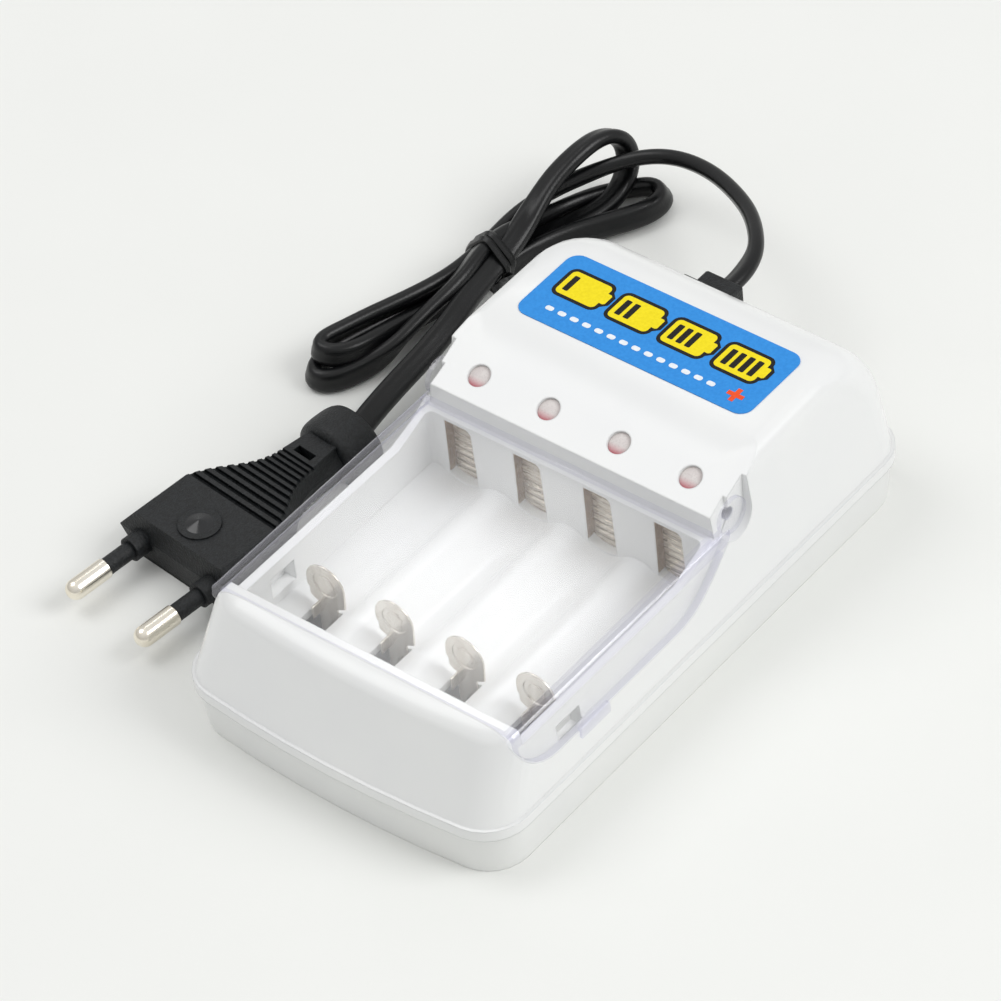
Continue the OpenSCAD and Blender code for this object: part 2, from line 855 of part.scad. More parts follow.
// Lamp: round lens standing on two legs, its dome under the hole in the slope
module led(s) {
    depth = 2.3;
    tilt_y = head_front_y + led_up * cos(slope_a) + depth * sin(slope_a);
    lens_z = slope_foot_z + led_up * sin(slope_a) - depth * cos(slope_a);
    color("red")
    translate([s, tilt_y, 0]) union() {
        translate([0, 0, lens_z]) sphere(r = led_r);
        translate([0, 0, lens_z - 4]) cylinder(r = led_r, h = 4);
        translate([0, 0, lens_z - 4.8]) cylinder(r = led_r + 0.35, h = 0.8 + over);
        for (x = [-0.9, 0.9]) translate([x, 0, board_top_z])
            cylinder(r = 0.25, h = lens_z - 4.8 - board_top_z + over, $fn = 16);
    }
}

module case_screws() {
    color("gray")
    for (p = screw_spots) translate([p[0], p[1], 0]) difference() {
        union() {
            translate([0, 0, shelf_z - 1.6]) cylinder(r = screw_head_r, h = 1.6);
            translate([0, 0, shelf_z - over]) cylinder(r = screw_r, h = screw_tip_z - shelf_z);
        }
        for (a = [0, 90]) rotate([0, 0, a]) box([-1.5, -0.3, shelf_z - 2], [1.5, 0.3, shelf_z - 0.9]);
    }
}

module strain_relief() {
    color([0.1, 0.1, 0.11])
    translate([relief_x, 0, relief_z]) union() {
        slab(relief_w, relief_h, relief_seat_y, relief_seat_y + relief_plate);
        slab(relief_w, relief_h, relief_in_y, relief_in_y + relief_plate);
        slab(relief_neck_w - 2 * fit, relief_neck_h - 2 * fit, relief_in_y, relief_end_y);
    }
}

// Flat cord swept along a route of points, its wide side kept level
module flat_cord(route) {
    n = 8;
    last = len(route) - 1;
    rings = [
        for (i = [0:last])
            let (
                ahead = route[min(i + 1, last)] - route[max(i - 1, 0)],
                t = ahead / norm(ahead),
                side = cross(t, [0, 0, 1]) / norm(cross(t, [0, 0, 1])),
                up = cross(side, t)
            )
            for (j = [0:n - 1])
                route[i] + side * cord_w / 2 * cos(360 * j / n) + up * cord_t / 2 * sin(360 * j / n)
    ];
    skin = [
        for (k = [0:last - 1]) for (j = [0:n - 1])
            let (a = k * n + j, b = k * n + (j + 1) % n)
            each [[a, b, b + n], [a, b + n, a + n]]
    ];
    first = [for (j = [n - 1:-1:0]) j];
    end = [for (j = [0:n - 1]) last * n + j];
    polyhedron(rings, concat([first], skin, [end]));
}

module power_cord() {
    color([0.1, 0.1, 0.11]) flat_cord(lead_route);
}

module plug_lead() {
    color([0.1, 0.1, 0.11]) flat_cord(plug_route);
}

// Round lobe of the hank between the tie and one end
module hank_lobe(from, from_r, to, to_r, h) {
    translate([0, 0, hank_low]) linear_extrude(h) hull() {
        translate(from) circle(r = from_r, $fn = 24);
        translate(to) circle(r = to_r, $fn = 24);
    }
}

// Outer shape of the tied hank: two flat lobes and the loop that stands up
module cord_hank() {
    color([0.12, 0.12, 0.13])
    union() {
        hank_lobe(hank_tie, hank_tie_r, hank_left, hank_left_r, hank_h);
        hank_lobe(hank_tie, hank_tie_r, hank_right, hank_right_r, hank_h);
        hank_lobe(loop_from, loop_r, loop_to, loop_r, loop_h);
    }
}

module cable_tie() {
    half = hank_tie_r + 0.1;
    top = hank_low + hank_h;
    color([0.1, 0.1, 0.11])
    translate([hank_tie[0], hank_tie[1], 0]) rotate([0, 0, tie_turn])
        along(-tie_w / 2, tie_w / 2) difference() {
            polygon([
                [-half - tie_t, hank_low], [half + tie_t, hank_low], [half + tie_t, top],
                [half, top + tie_t], [-half, top + tie_t], [-half - tie_t, top]
            ]);
            polygon([[-half, hank_low - 1], [half, hank_low - 1], [half, top], [-half, top]]);
        }
}

// Plug frame: Y from the front face to the cord, Z up from the pins' axis
module at_plug() {
    translate([plug_at[0], plug_at[1], plug_z]) rotate([0, 0, plug_turn]) children();
}

// Six-sided section of the plug's body at a half width: flat above and below, widest at the ridge
function plug_section(w) =
    let (hh = plug_h / 2, in = plug_side_in * w / (plug_w / 2))
    [[w, -plug_ridge_z], [w - in, hh], [in - w, hh], [-w, -plug_ridge_z], [in - w, -hh], [w - in, -hh]];

// Body of the plug before it is cut: a wide part and a concave neck
module plug_form() {
    hw = plug_w / 2;
    nw = plug_neck_w / 2;
    neck = bezier([
        [hw, plug_wide_l], [hw - 4, plug_wide_l + 8], [nw, plug_neck_l - 8], [nw, plug_neck_l]
    ]);
    rotate([-90, 0, 0])
        loft([for (s = concat([[hw, 0]], neck, [[nw, collar_at + 1]])) [s[1], plug_section(s[0])]]);
}

// Cord collar with a round back and a flat foot
module plug_collar() {
    intersection() {
        translate([0, collar_at, -collar_low]) rotate([-90, 0, 0]) cylinder(r = collar_r, h = collar_l);
        box([-far, 0, -plug_h / 2], [far, far, far]);
    }
}

module plug_body() {
    hh = plug_h / 2;
    color([0.1, 0.1, 0.11])
    at_plug() difference() {
        union() {
            intersection() {
                plug_form();
                across(-far, far)
                    polygon([
                        [0, plug_ridge_z], [plug_nose_low, -hh], [far, -hh], [far, hh], [plug_nose_top, hh]
                    ]);
            }
            plug_collar();
            for (x = [-1, 1]) translate([x * plug_pitch / 2, 0, 0]) rotate([90, 0, 0]) {
                translate([0, 0, -2.5]) cylinder(r = plug_pin_r + plug_boss_wall, h = plug_boss_l + 2.5);
                cylinder(r = plug_pin_r - 0.3, h = plug_pin_l - plug_tip_l);
            }
            translate([0, plug_disc_y, hh - over]) {
                cylinder(r = 4, h = 0.3);
                cylinder(r1 = 2.4, r2 = 0.3, h = 0.9);
            }
        }
        for (x = [-1, 1]) translate([x * plug_pitch / 2, 0, 0]) rotate([90, 0, 0])
            translate([0, 0, -8]) cylinder(r = plug_pin_r - 0.5, h = plug_pin_l);
        for (i = [0:plug_rib_n - 1]) for (z = [-1, 1])
            translate([0, plug_wide_l + 0.4 + i * (plug_rib_step - i * plug_rib_ease), z * hh])
                box([-far, 0, -plug_rib_d], [far, plug_rib_step / 2 - i * plug_rib_ease, plug_rib_d]);
        box([-2.2, plug_neck_l + 0.6, 0], [2.2, plug_neck_l + 2.2, far]);
    }
}

module plug_pins() {
    color("silver")
    at_plug()
        for (x = [-1, 1]) translate([x * plug_pitch / 2, 0, 0]) rotate([90, 0, 0]) union() {
            translate([0, 0, -7]) cylinder(r = plug_pin_r - 0.5, h = plug_pin_l);
            translate([0, 0, plug_pin_l - plug_tip_l]) cylinder(r = plug_pin_r, h = plug_tip_l - plug_pin_r);
            translate([0, 0, plug_pin_l - plug_pin_r]) sphere(r = plug_pin_r);
        }
}

upper_case();
lower_case();
battery_lid();
label();
for (i = [0:3]) {
    positive_contact(slots[i]);
    negative_slider(slots[i]);
    slider_spring(slots[i]);
    led(slots[i]);
}
negative_bus();
circuit_board();
transformer();
filter_capacitor();
case_screws();
strain_relief();
power_cord();
cord_hank();
plug_lead();
cable_tie();
plug_body();
plug_pins();
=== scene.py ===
"""Looks of a mains charger for four cells: case, clear lid, contacts, printed label, cord and plug."""

import logging
import math
from dataclasses import dataclass
from enum import Enum

import bmesh
import bpy
import numpy as np
from mathutils import Matrix, Vector


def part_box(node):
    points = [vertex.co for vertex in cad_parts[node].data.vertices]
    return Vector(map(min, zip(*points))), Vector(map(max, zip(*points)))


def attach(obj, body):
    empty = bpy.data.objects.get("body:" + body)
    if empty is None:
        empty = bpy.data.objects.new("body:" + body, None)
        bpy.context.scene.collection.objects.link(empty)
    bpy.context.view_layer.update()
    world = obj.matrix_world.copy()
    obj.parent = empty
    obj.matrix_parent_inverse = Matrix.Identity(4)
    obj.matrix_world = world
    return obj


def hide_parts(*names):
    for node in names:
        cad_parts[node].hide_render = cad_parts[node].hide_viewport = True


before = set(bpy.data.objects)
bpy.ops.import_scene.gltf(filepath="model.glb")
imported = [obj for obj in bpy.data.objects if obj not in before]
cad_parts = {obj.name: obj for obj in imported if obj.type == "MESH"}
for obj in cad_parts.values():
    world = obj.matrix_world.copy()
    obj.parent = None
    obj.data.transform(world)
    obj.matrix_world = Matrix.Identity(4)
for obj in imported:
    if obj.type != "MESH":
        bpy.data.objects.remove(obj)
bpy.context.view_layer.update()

MM = 0.001
BODY = "charger"
PHOTO_SIDE = 1001
LOG = logging.getLogger("charger")

# Where the two tones of a finish part, as heights of its noise
PATCH_STOPS = (0.35, 0.65)
# Shares of open sky over which the painted shade in a groove fades: where less sky reaches, its sheen is cut
OPEN_SKY = (0.35, 0.95)
NEAR_SAMPLES = 6
# Corners closer than these are one, in metres
WELD = 2e-6
SAME_SPOT = 1e-7

Pair = tuple[float, float]
Triple = tuple[float, float, float]
Material = bpy.types.Material
Piece = bpy.types.Object
Socket = bpy.types.NodeSocket
Tree = bpy.types.NodeTree


class Axis(Enum):
    """Directions that a brushed or swept grain can follow."""

    ACROSS = 0
    ALONG = 1
    UP = 2


def linear(code: str) -> tuple[float, float, float, float]:
    """Turns an sRGB hex colour into linear light.

    Args:
        code: Colour such as "#F1F2F1".

    Returns:
        Linear red, green, blue and an alpha of 1.
    """
    channels = [int(code[i:i + 2], 16) / 255 for i in (1, 3, 5)]
    red, green, blue = (c / 12.92 if c <= 0.04045 else ((c + 0.055) / 1.055) ** 2.4 for c in channels)
    return red, green, blue, 1.0


def add_node(tree: Tree, kind: str, inputs: dict | None = None, **settings) -> bpy.types.Node:
    """Adds a node, sets its properties and fills its inputs.

    Args:
        tree: Node tree that gets the node.
        kind: Node type, such as "ShaderNodeTexNoise".
        inputs: Input name or number, with a value or the output socket to link.
        **settings: Properties of the node.

    Returns:
        The new node.
    """
    node = tree.nodes.new(kind)
    for key, value in settings.items():
        setattr(node, key, value)
    for key, value in (inputs or {}).items():
        if isinstance(value, Socket):
            tree.links.new(value, node.inputs[key])
        else:
            node.inputs[key].default_value = value
    return node


def per_metre(size_mm: float) -> float:
    """Gives the texture scale whose features are about this many millimetres wide."""
    return 1.0 / (size_mm * MM)


@dataclass(frozen=True)
class Finish:
    """Surface of one material: two close tones, a roughness range, a fine grain and soft edges."""

    name: str
    tone: str
    tone_worn: str
    patch_mm: float
    roughness: Pair
    grain_mm: float
    grain_depth: float
    metallic: float = 0.0
    ior: float = 1.5
    specular: float = 0.5
    edge_mm: float = 0.0
    crevice_shade_mm: float = 0.0
    stretch: Axis | None = None
    stretch_by: float = 12.0

    def coordinates(self, tree: Tree) -> Socket:
        """Reads object coordinates, drawn out along the finish's own direction.

        Args:
            tree: Node tree of the material.

        Returns:
            Vector socket for the patterns.
        """
        place = add_node(tree, "ShaderNodeTexCoord").outputs["Object"]
        if self.stretch is None:
            return place
        scale = [1.0, 1.0, 1.0]
        scale[self.stretch.value] = 1.0 / self.stretch_by
        return add_node(tree, "ShaderNodeMapping", {"Vector": place, "Scale": scale}).outputs["Vector"]

    def colour(self, tree: Tree) -> Socket:
        """Mixes the two tones in soft patches.

        Args:
            tree: Node tree of the material.

        Returns:
            Colour of the surface.
        """
        spread = {"Vector": self.coordinates(tree), "Scale": per_metre(self.patch_mm), "Detail": 3.0}
        patches = add_node(tree, "ShaderNodeTexNoise", spread).outputs["Fac"]
        ramp = add_node(tree, "ShaderNodeValToRGB", {"Fac": patches})
        for stop, spot, tone in zip(ramp.color_ramp.elements, PATCH_STOPS, (self.tone_worn, self.tone)):
            stop.position = spot
            stop.color = linear(tone)
        return ramp.outputs["Color"]

    def surface(self, tree: Tree) -> Socket:
        """Builds the shader from the colour, the roughness, the grain, the soft edges and any painted shade
        in grooves.

        Args:
            tree: Node tree of the material.

        Returns:
            The shader's output.
        """
        spread = {"Vector": self.coordinates(tree), "Scale": per_metre(self.grain_mm), "Detail": 2.0}
        grain = add_node(tree, "ShaderNodeTexNoise", spread).outputs["Fac"]
        shine = {"Value": grain, "To Min": self.roughness[0], "To Max": self.roughness[1]}
        relief = {"Height": grain, "Strength": self.grain_depth, "Distance": self.grain_mm * MM}
        if self.edge_mm:
            rounded = add_node(tree, "ShaderNodeBevel", {"Radius": self.edge_mm * MM}, samples=NEAR_SAMPLES)
            relief["Normal"] = rounded.outputs["Normal"]
        inputs = {
            "Base Color": self.colour(tree),
            "Roughness": add_node(tree, "ShaderNodeMapRange", shine).outputs["Result"],
            "Normal": add_node(tree, "ShaderNodeBump", relief).outputs["Normal"],
            "Metallic": self.metallic,
        }
        if not self.metallic:
            inputs |= {"IOR": self.ior, "Specular IOR Level": self.specular}
        # Painted shade: the sheen is cut in grooves and crevices, by how little open sky reaches them
        if self.crevice_shade_mm:
            reach = {"Distance": self.crevice_shade_mm * MM}
            sky = add_node(tree, "ShaderNodeAmbientOcclusion", reach, samples=NEAR_SAMPLES).outputs["AO"]
            low, high = OPEN_SKY
            gloss = {"Value": sky, "From Min": low, "From Max": high, "To Max": self.specular}
            inputs["Specular IOR Level"] = add_node(tree, "ShaderNodeMapRange", gloss).outputs["Result"]
        return add_node(tree, "ShaderNodeBsdfPrincipled", inputs).outputs["BSDF"]

    def material(self) -> Material:
        """Builds the material.

        Returns:
            Material named for the finish.
        """
        made = bpy.data.materials.new(self.name)
        made.use_nodes = True
        tree = made.node_tree
        tree.nodes.clear()
        add_node(tree, "ShaderNodeOutputMaterial", {"Surface": self.surface(tree)})
        return made


@dataclass(frozen=True)
class ClearFinish(Finish):
    """Clear moulded sheet: light goes straight through it, and it mirrors more where it turns away."""

    milk: str = "#F4F3FB"
    milkiness: float = 0.015
    mirror: float = 0.045
    tint_power: float = 2.0
    mirror_power: float = 5.0

    def surface(self, tree: Tree) -> Socket:
        """Lays a faint milk and a mirror over a see-through sheet, and lets light and shadows pass.

        Args:
            tree: Node tree of the material.

        Returns:
            The shader's output.
        """
        turned = add_node(tree, "ShaderNodeLayerWeight", {"Blend": 0.5}).outputs["Facing"]
        slant, grazing = (
            add_node(tree, "ShaderNodeMath", {0: turned, 1: power}, operation="POWER").outputs[0]
            for power in (self.tint_power, self.mirror_power)
        )
        tints = {0: slant, 6: linear(self.tone), 7: linear(self.tone_worn)}
        tint = add_node(tree, "ShaderNodeMix", tints, data_type="RGBA").outputs[2]
        clear = add_node(tree, "ShaderNodeBsdfTransparent", {"Color": tint}).outputs["BSDF"]
        cloud = add_node(tree, "ShaderNodeBsdfDiffuse", {"Color": linear(self.milk)}).outputs["BSDF"]
        veil = {0: self.milkiness, 1: clear, 2: cloud}
        sheet = add_node(tree, "ShaderNodeMixShader", veil).outputs["Shader"]
        spread = {"Vector": self.coordinates(tree), "Scale": per_metre(self.patch_mm), "Detail": 4.0}
        marks = add_node(tree, "ShaderNodeTexNoise", spread).outputs["Fac"]
        shine = {"Value": marks, "To Min": self.roughness[0], "To Max": self.roughness[1]}
        polish = add_node(tree, "ShaderNodeMapRange", shine).outputs["Result"]
        gloss = add_node(tree, "ShaderNodeBsdfGlossy", {"Roughness": polish}).outputs["BSDF"]
        rise = {0: grazing, 1: 1.0 - self.mirror, 2: self.mirror}
        share = add_node(tree, "ShaderNodeMath", rise, operation="MULTIPLY_ADD").outputs[0]
        seen = add_node(tree, "ShaderNodeMixShader", {0: share, 1: sheet, 2: gloss}).outputs["Shader"]
        path = add_node(tree, "ShaderNodeLightPath").outputs
        rays = {0: path["Is Shadow Ray"], 1: path["Is Diffuse Ray"]}
        lighting = add_node(tree, "ShaderNodeMath", rays, operation="MAXIMUM").outputs[0]
        passing = add_node(tree, "ShaderNodeBsdfTransparent", {"Color": linear(self.tone)}).outputs["BSDF"]
        return add_node(tree, "ShaderNodeMixShader", {0: lighting, 1: seen, 2: passing}).outputs["Shader"]


@dataclass(frozen=True)
class RibbedFinish(Finish):
    """Metal pressed into level ribs, with painted shade in the grooves between them."""

    groove_shade_tone: str = "#5E564D"
    first_mm: float = 13.5
    step_mm: float = 1.65
    top_mm: float = 22.6
    waver_mm: float = 2.4
    waver_by_mm: float = 0.3
    rim: float = 0.25
    groove_shade: tuple[Pair, ...] = (
        (0.22, 0.0), (0.44, 0.05), (0.52, 0.85), (0.6, 0.75), (0.68, 0.1), (0.8, 0.55), (0.86, 0.1),
    )

    def colour(self, tree: Tree) -> Socket:
        """Paints shade into the grooves, over the patches.

        Args:
            tree: Node tree of the material.

        Returns:
            Colour of the surface.
        """
        place = add_node(tree, "ShaderNodeTexCoord").outputs["Object"]
        height = add_node(tree, "ShaderNodeSeparateXYZ", {"Vector": place}).outputs["Z"]
        spread = {"Vector": place, "Scale": per_metre(self.waver_mm)}
        level = add_node(tree, "ShaderNodeTexNoise", spread).outputs["Fac"]
        for operation, values in (
            ("MULTIPLY_ADD", {1: self.waver_by_mm * MM, 2: height}),
            ("SUBTRACT", {1: self.first_mm * MM}),
            ("DIVIDE", {1: self.step_mm * MM}),
            ("FRACT", {}),
        ):
            level = add_node(tree, "ShaderNodeMath", {0: level, **values}, operation=operation).outputs[0]
        # Bands of the groove tone across the ribs: painted shade in the grooves
        depth = add_node(tree, "ShaderNodeValToRGB", {"Fac": level})
        stops = depth.color_ramp.elements
        for stop in stops:
            stop.color = (self.rim, self.rim, self.rim, 1)
        for spot, grey in self.groove_shade:
            stops.new(spot).color = (grey, grey, grey, 1)
        below = add_node(tree, "ShaderNodeMath", {0: height, 1: self.top_mm * MM}, operation="LESS_THAN")
        ribs = {0: depth.outputs["Color"], 1: below.outputs[0]}
        share = add_node(tree, "ShaderNodeMath", ribs, operation="MULTIPLY").outputs[0]
        tones = {0: share, 6: super().colour(tree), 7: linear(self.groove_shade_tone)}
        return add_node(tree, "ShaderNodeMix", tones, data_type="RGBA").outputs[2]


@dataclass(frozen=True)
class LampFinish(Finish):
    """Frosted epoxy whose low side takes the colour of the lamp behind it."""

    low_tone: str = "#B9606B"
    low_mm: Pair = (11.3, 13.4)

    def colour(self, tree: Tree) -> Socket:
        """Adds the lamp's colour to the patches.

        Args:
            tree: Node tree of the material.

        Returns:
            Colour of the surface.
        """
        place = add_node(tree, "ShaderNodeTexCoord").outputs["Object"]
        along = add_node(tree, "ShaderNodeSeparateXYZ", {"Vector": place}).outputs["Y"]
        low, high = self.low_mm
        span = {"Value": along, "From Min": low * MM, "From Max": high * MM}
        share = add_node(tree, "ShaderNodeMapRange", span, interpolation_type="SMOOTHSTEP").outputs["Result"]
        tones = {0: share, 6: linear(self.low_tone), 7: super().colour(tree)}
        return add_node(tree, "ShaderNodeMix", tones, data_type="RGBA").outputs[2]


def printed(name: str, tone: str, tone_worn: str) -> Finish:
    """Gives a print under the label's satin film, with a fine dot grain."""
    return Finish(name, tone, tone_worn, 0.6, (0.4, 0.5), 0.25, 0.02, specular=0.2)


# White ABS from a polished mould: even, softly glossy, with a faint orange peel
CASE_ABS = Finish("white_abs", "#EBECEB", "#E8E9E9", 26.0, (0.19, 0.25), 2.5, 0.0004, ior=1.54, edge_mm=0.45)
# The base is the same ABS from a plainer mould, a touch greyer and less glossy
BASE_ABS = Finish(
    "white_abs_base", "#E9EAE8", "#E6E7E6", 22.0, (0.32, 0.42), 1.2, 0.004, ior=1.54, edge_mm=0.6
)
# General-purpose polystyrene: water clear on the flat, with a faint veil of handling marks
LID_STYRENE = ClearFinish("clear_polystyrene", "#FEFEFE", "#F8F8FA", 9.0, (0.12, 0.18), 1.0, 0.0)
# Folds and cut edges of the same sheet gather light and turn lavender
LID_EDGE = ClearFinish(
    "polystyrene_edge", "#F8F8FC", "#E9E7F4", 4.0, (0.04, 0.1), 1.0, 0.0,
    milk="#F0EEFA", milkiness=0.06, mirror=0.07,
)
# Nickel plating on stamped steel: warm grey, with rolling marks across, dull patches and painted shade in the
# grooves between its ribs
CONTACT_NICKEL = RibbedFinish(
    "plated_nickel", "#F4ECDE", "#D6CCBE", 1.6, (0.2, 0.32), 0.25, 0.03, 0.55,
    edge_mm=0.1, stretch=Axis.ACROSS,
)
# The same plating as dull brown strips over the window reveals: painted shade, a darker copy of the plating
# laid where the reveals lie in shade
SHADE_LIP_NICKEL = Finish("painted_shade_nickel", "#B09C89", "#988776", 1.4, (0.35, 0.5), 0.3, 0.03, 0.6)
# Stamped plate of the sliders: the same nickel in a brighter tone than the contacts, painted light for the
# lid's glare on them, with marks that run up it
GLARE_SLIDER_NICKEL = Finish(
    "glare_bright_nickel", "#F0EBE2", "#D8D0C5", 1.8, (0.2, 0.3), 0.3, 0.02, 0.75, stretch=Axis.UP, stretch_by=6.0
)
# Polished pins: bright turned brass under nickel, with fine turning marks
PIN_NICKEL = Finish(
    "polished_nickel", "#FBF6EA", "#F2EADA", 2.2, (0.2, 0.26), 0.3, 0.002, 1.0, stretch=Axis.ALONG
)
# Drawn spring wire: half bright grey with dull specks
SPRING_STEEL = Finish("spring_steel", "#C9C8C6", "#A9A7A4", 1.0, (0.25, 0.40), 0.2, 0.05, 1.0)
# Zinc plating on the screws: a cooler, duller grey
SCREW_STEEL = Finish("zinc_steel", "#B9BABA", "#9C9D9D", 1.2, (0.28, 0.45), 0.2, 0.06, 1.0)
# Extruded PVC sheath: near black, satin, with die lines along its length
CORD_PVC = Finish(
    "satin_pvc_cord", "#0F1011", "#0A0B0C", 8.0, (0.26, 0.36), 0.35, 0.10, ior=1.53, specular=0.34
)
# Spark-eroded mould texture: matt, gritty black, with painted shade in its grooves, where its sheen is cut
PLUG_PVC = Finish(
    "textured_pvc_plug", "#191C1E", "#0B0D0E", 0.7, (0.42, 0.62), 0.4, 0.5,
    ior=1.53, specular=0.4, edge_mm=0.2, crevice_shade_mm=1.6,
)
# The mould mark on the plug is polished, so it catches the light on the gritty body
PLUG_POLISH = Finish("polished_pvc_mark", "#17191B", "#121416", 2.0, (0.14, 0.22), 0.4, 0.02, ior=1.53)
# Soft PVC over a wire: rubbery black, a little duller than the cord
TIE_PVC = Finish(
    "rubbery_pvc_tie", "#0F1011", "#0A0B0B", 3.0, (0.30, 0.42), 0.25, 0.15, ior=1.53, specular=0.4
)
# Laminated vinyl: saturated print under a satin film with a fine dot grain
LABEL_VINYL = printed("printed_vinyl", "#3491E0", "#2E89D8")
YELLOW_INK = printed("yellow_ink", "#F4E01A", "#ECD711")
BLACK_INK = printed("black_ink", "#171615", "#1E1D1C")
WHITE_INK = printed("white_ink", "#EDF1F5", "#E2E8EE")
ORANGE_INK = printed("orange_ink", "#F1592A", "#E84E20")
# Frosted lamp lenses: unlit and grey, with the red lamp below showing through their low side
LAMP_EPOXY = LampFinish("frosted_epoxy", "#D3CDCA", "#CBC3C1", 1.6, (0.22, 0.34), 0.4, 0.03)
# Pressed phenolic paper: flat brown
BOARD_PHENOLIC = Finish("phenolic_board", "#A06B33", "#8E5B28", 3.0, (0.45, 0.6), 0.4, 0.1)
# Wound polyester tape: amber with a soft shine
TAPE_YELLOW = Finish("polyester_tape", "#E3B93A", "#D5A92C", 3.0, (0.3, 0.45), 0.5, 0.05)
# Shrunk sleeve of the capacitor: dark blue and satin
SLEEVE_BLUE = Finish("shrink_sleeve", "#22305E", "#1B2850", 3.0, (0.25, 0.38), 0.5, 0.05)
# Pale, even paper that keeps the object's shadow
TABLE_PAPER = Finish("pale_table", "#ECEDEA", "#EBECE9", 40.0, (0.6, 0.7), 1.5, 0.01)


def report(piece: Piece) -> Piece:
    """Logs a finished piece and gives it back."""
    LOG.info("%s: %d faces", piece.name, len(piece.data.polygons))
    return piece


def fitted(piece: Piece, slot: str, *nodes: str, body: str = BODY) -> Piece:
    """Ties a finished piece to its body and hides the CAD nodes that it stands for.

    Args:
        piece: The finished piece.
        slot: Material slot of the record; not used.
        *nodes: CAD nodes that it replaces.
        body: Body that it rides on.

    Returns:
        The piece.
    """
    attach(piece, body)
    if nodes:
        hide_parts(*nodes)
    return report(piece)


def new_piece(name: str, mesh: bpy.types.Mesh, finish: Material) -> Piece:
    """Makes an object at the origin from a mesh.

    Args:
        name: Name of the piece.
        mesh: Mesh with its place in its vertices.
        finish: Material of the whole piece.

    Returns:
        The new object, linked to the scene.
    """
    mesh.materials.clear()
    mesh.materials.append(finish)
    piece = bpy.data.objects.new(name, mesh)
    bpy.context.scene.collection.objects.link(piece)
    return piece


def solid(name: str, points: list, faces: list, finish: Material, smooth_to: float = 0.0) -> Piece:
    """Makes a piece from corners and faces, which it turns outward.

    Args:
        name: Name of the piece.
        points: Corners, in metres.
        faces: Corner numbers of each face.
        finish: Material of the whole piece.
        smooth_to: Angle up to which edges are shaded smooth, in degrees.

    Returns:
        The new object.
    """
    mesh = bpy.data.meshes.new(name)
    mesh.from_pydata([tuple(p) for p in points], [], faces)
    shape = bmesh.new()
    shape.from_mesh(mesh)
    bmesh.ops.remove_doubles(shape, verts=shape.verts, dist=SAME_SPOT)
    bmesh.ops.recalc_face_normals(shape, faces=shape.faces)
    shape.to_mesh(mesh)
    shape.free()
    if smooth_to:
        smooth_by_angle(mesh, smooth_to)
    return new_piece(name, mesh, finish)


def angles(count: int) -> list[float]:
    """Spreads this many angles evenly round a circle."""
    return [2 * math.pi * i / count for i in range(count)]


def ring_faces(rings: int, around: int, start: int = 0, looped: bool = False) -> list[list[int]]:
    """Skins rings of corners, with a cap on each end or round into a loop.

    Args:
        rings: How many rings.
        around: Corners in each ring.
        start: Number of the first corner.
        looped: Whether the last ring joins the first.

    Returns:
        Corner numbers of each face.
    """
    faces = []
    for k in range(rings if looped else rings - 1):
        here, there = start + k * around, start + (k + 1) % rings * around
        for j in range(around):
            beside = (j + 1) % around
            faces.append([here + j, here + beside, there + beside, there + j])
    if not looped:
        last = start + (rings - 1) * around
        faces += [[start + j for j in reversed(range(around))], [last + j for j in range(around)]]
    return faces


def smooth_by_angle(mesh: bpy.types.Mesh, degrees: float) -> None:
    """Shades a mesh smooth, with edges sharper than an angle kept sharp."""
    mesh.polygons.foreach_set("use_smooth", [True] * len(mesh.polygons))
    mesh.set_sharp_from_angle(angle=math.radians(degrees))


def applied(piece: Piece) -> None:
    """Turns a piece and its modifiers into a plain mesh.

    Args:
        piece: Object whose modifiers are live.
    """
    graph = bpy.context.evaluated_depsgraph_get()
    plain = bpy.data.meshes.new_from_object(piece.evaluated_get(graph))
    piece.modifiers.clear()
    piece.data = plain


def edge_room(edge: bmesh.types.BMEdge, reach: float) -> float:
    """Finds how far a rounding can run over an edge's faces before it meets another edge.

    Args:
        edge: Edge to be rounded.
        reach: Furthest distance of interest, in metres.

    Returns:
        The free distance, or the reach.
    """
    room = reach
    first, last = (corner.co for corner in edge.verts)
    for loop in edge.link_loops:
        along = (loop.link_loop_next.vert.co - loop.vert.co).normalized()
        inward = loop.face.normal.cross(along)
        for start in (first.lerp(last, share) for share in (0.25, 0.5, 0.75)):
            for other in loop.face.loops:
                here, there = other.vert.co - start, other.link_loop_next.vert.co - start
                before, after = here.dot(along), there.dot(along)
                if other.edge is edge or (before > 0) == (after > 0):
                    continue
                hit = here.dot(inward) + (there - here).dot(inward) * before / (before - after)
                if 1e-6 < hit < room:
                    room = hit
    return room


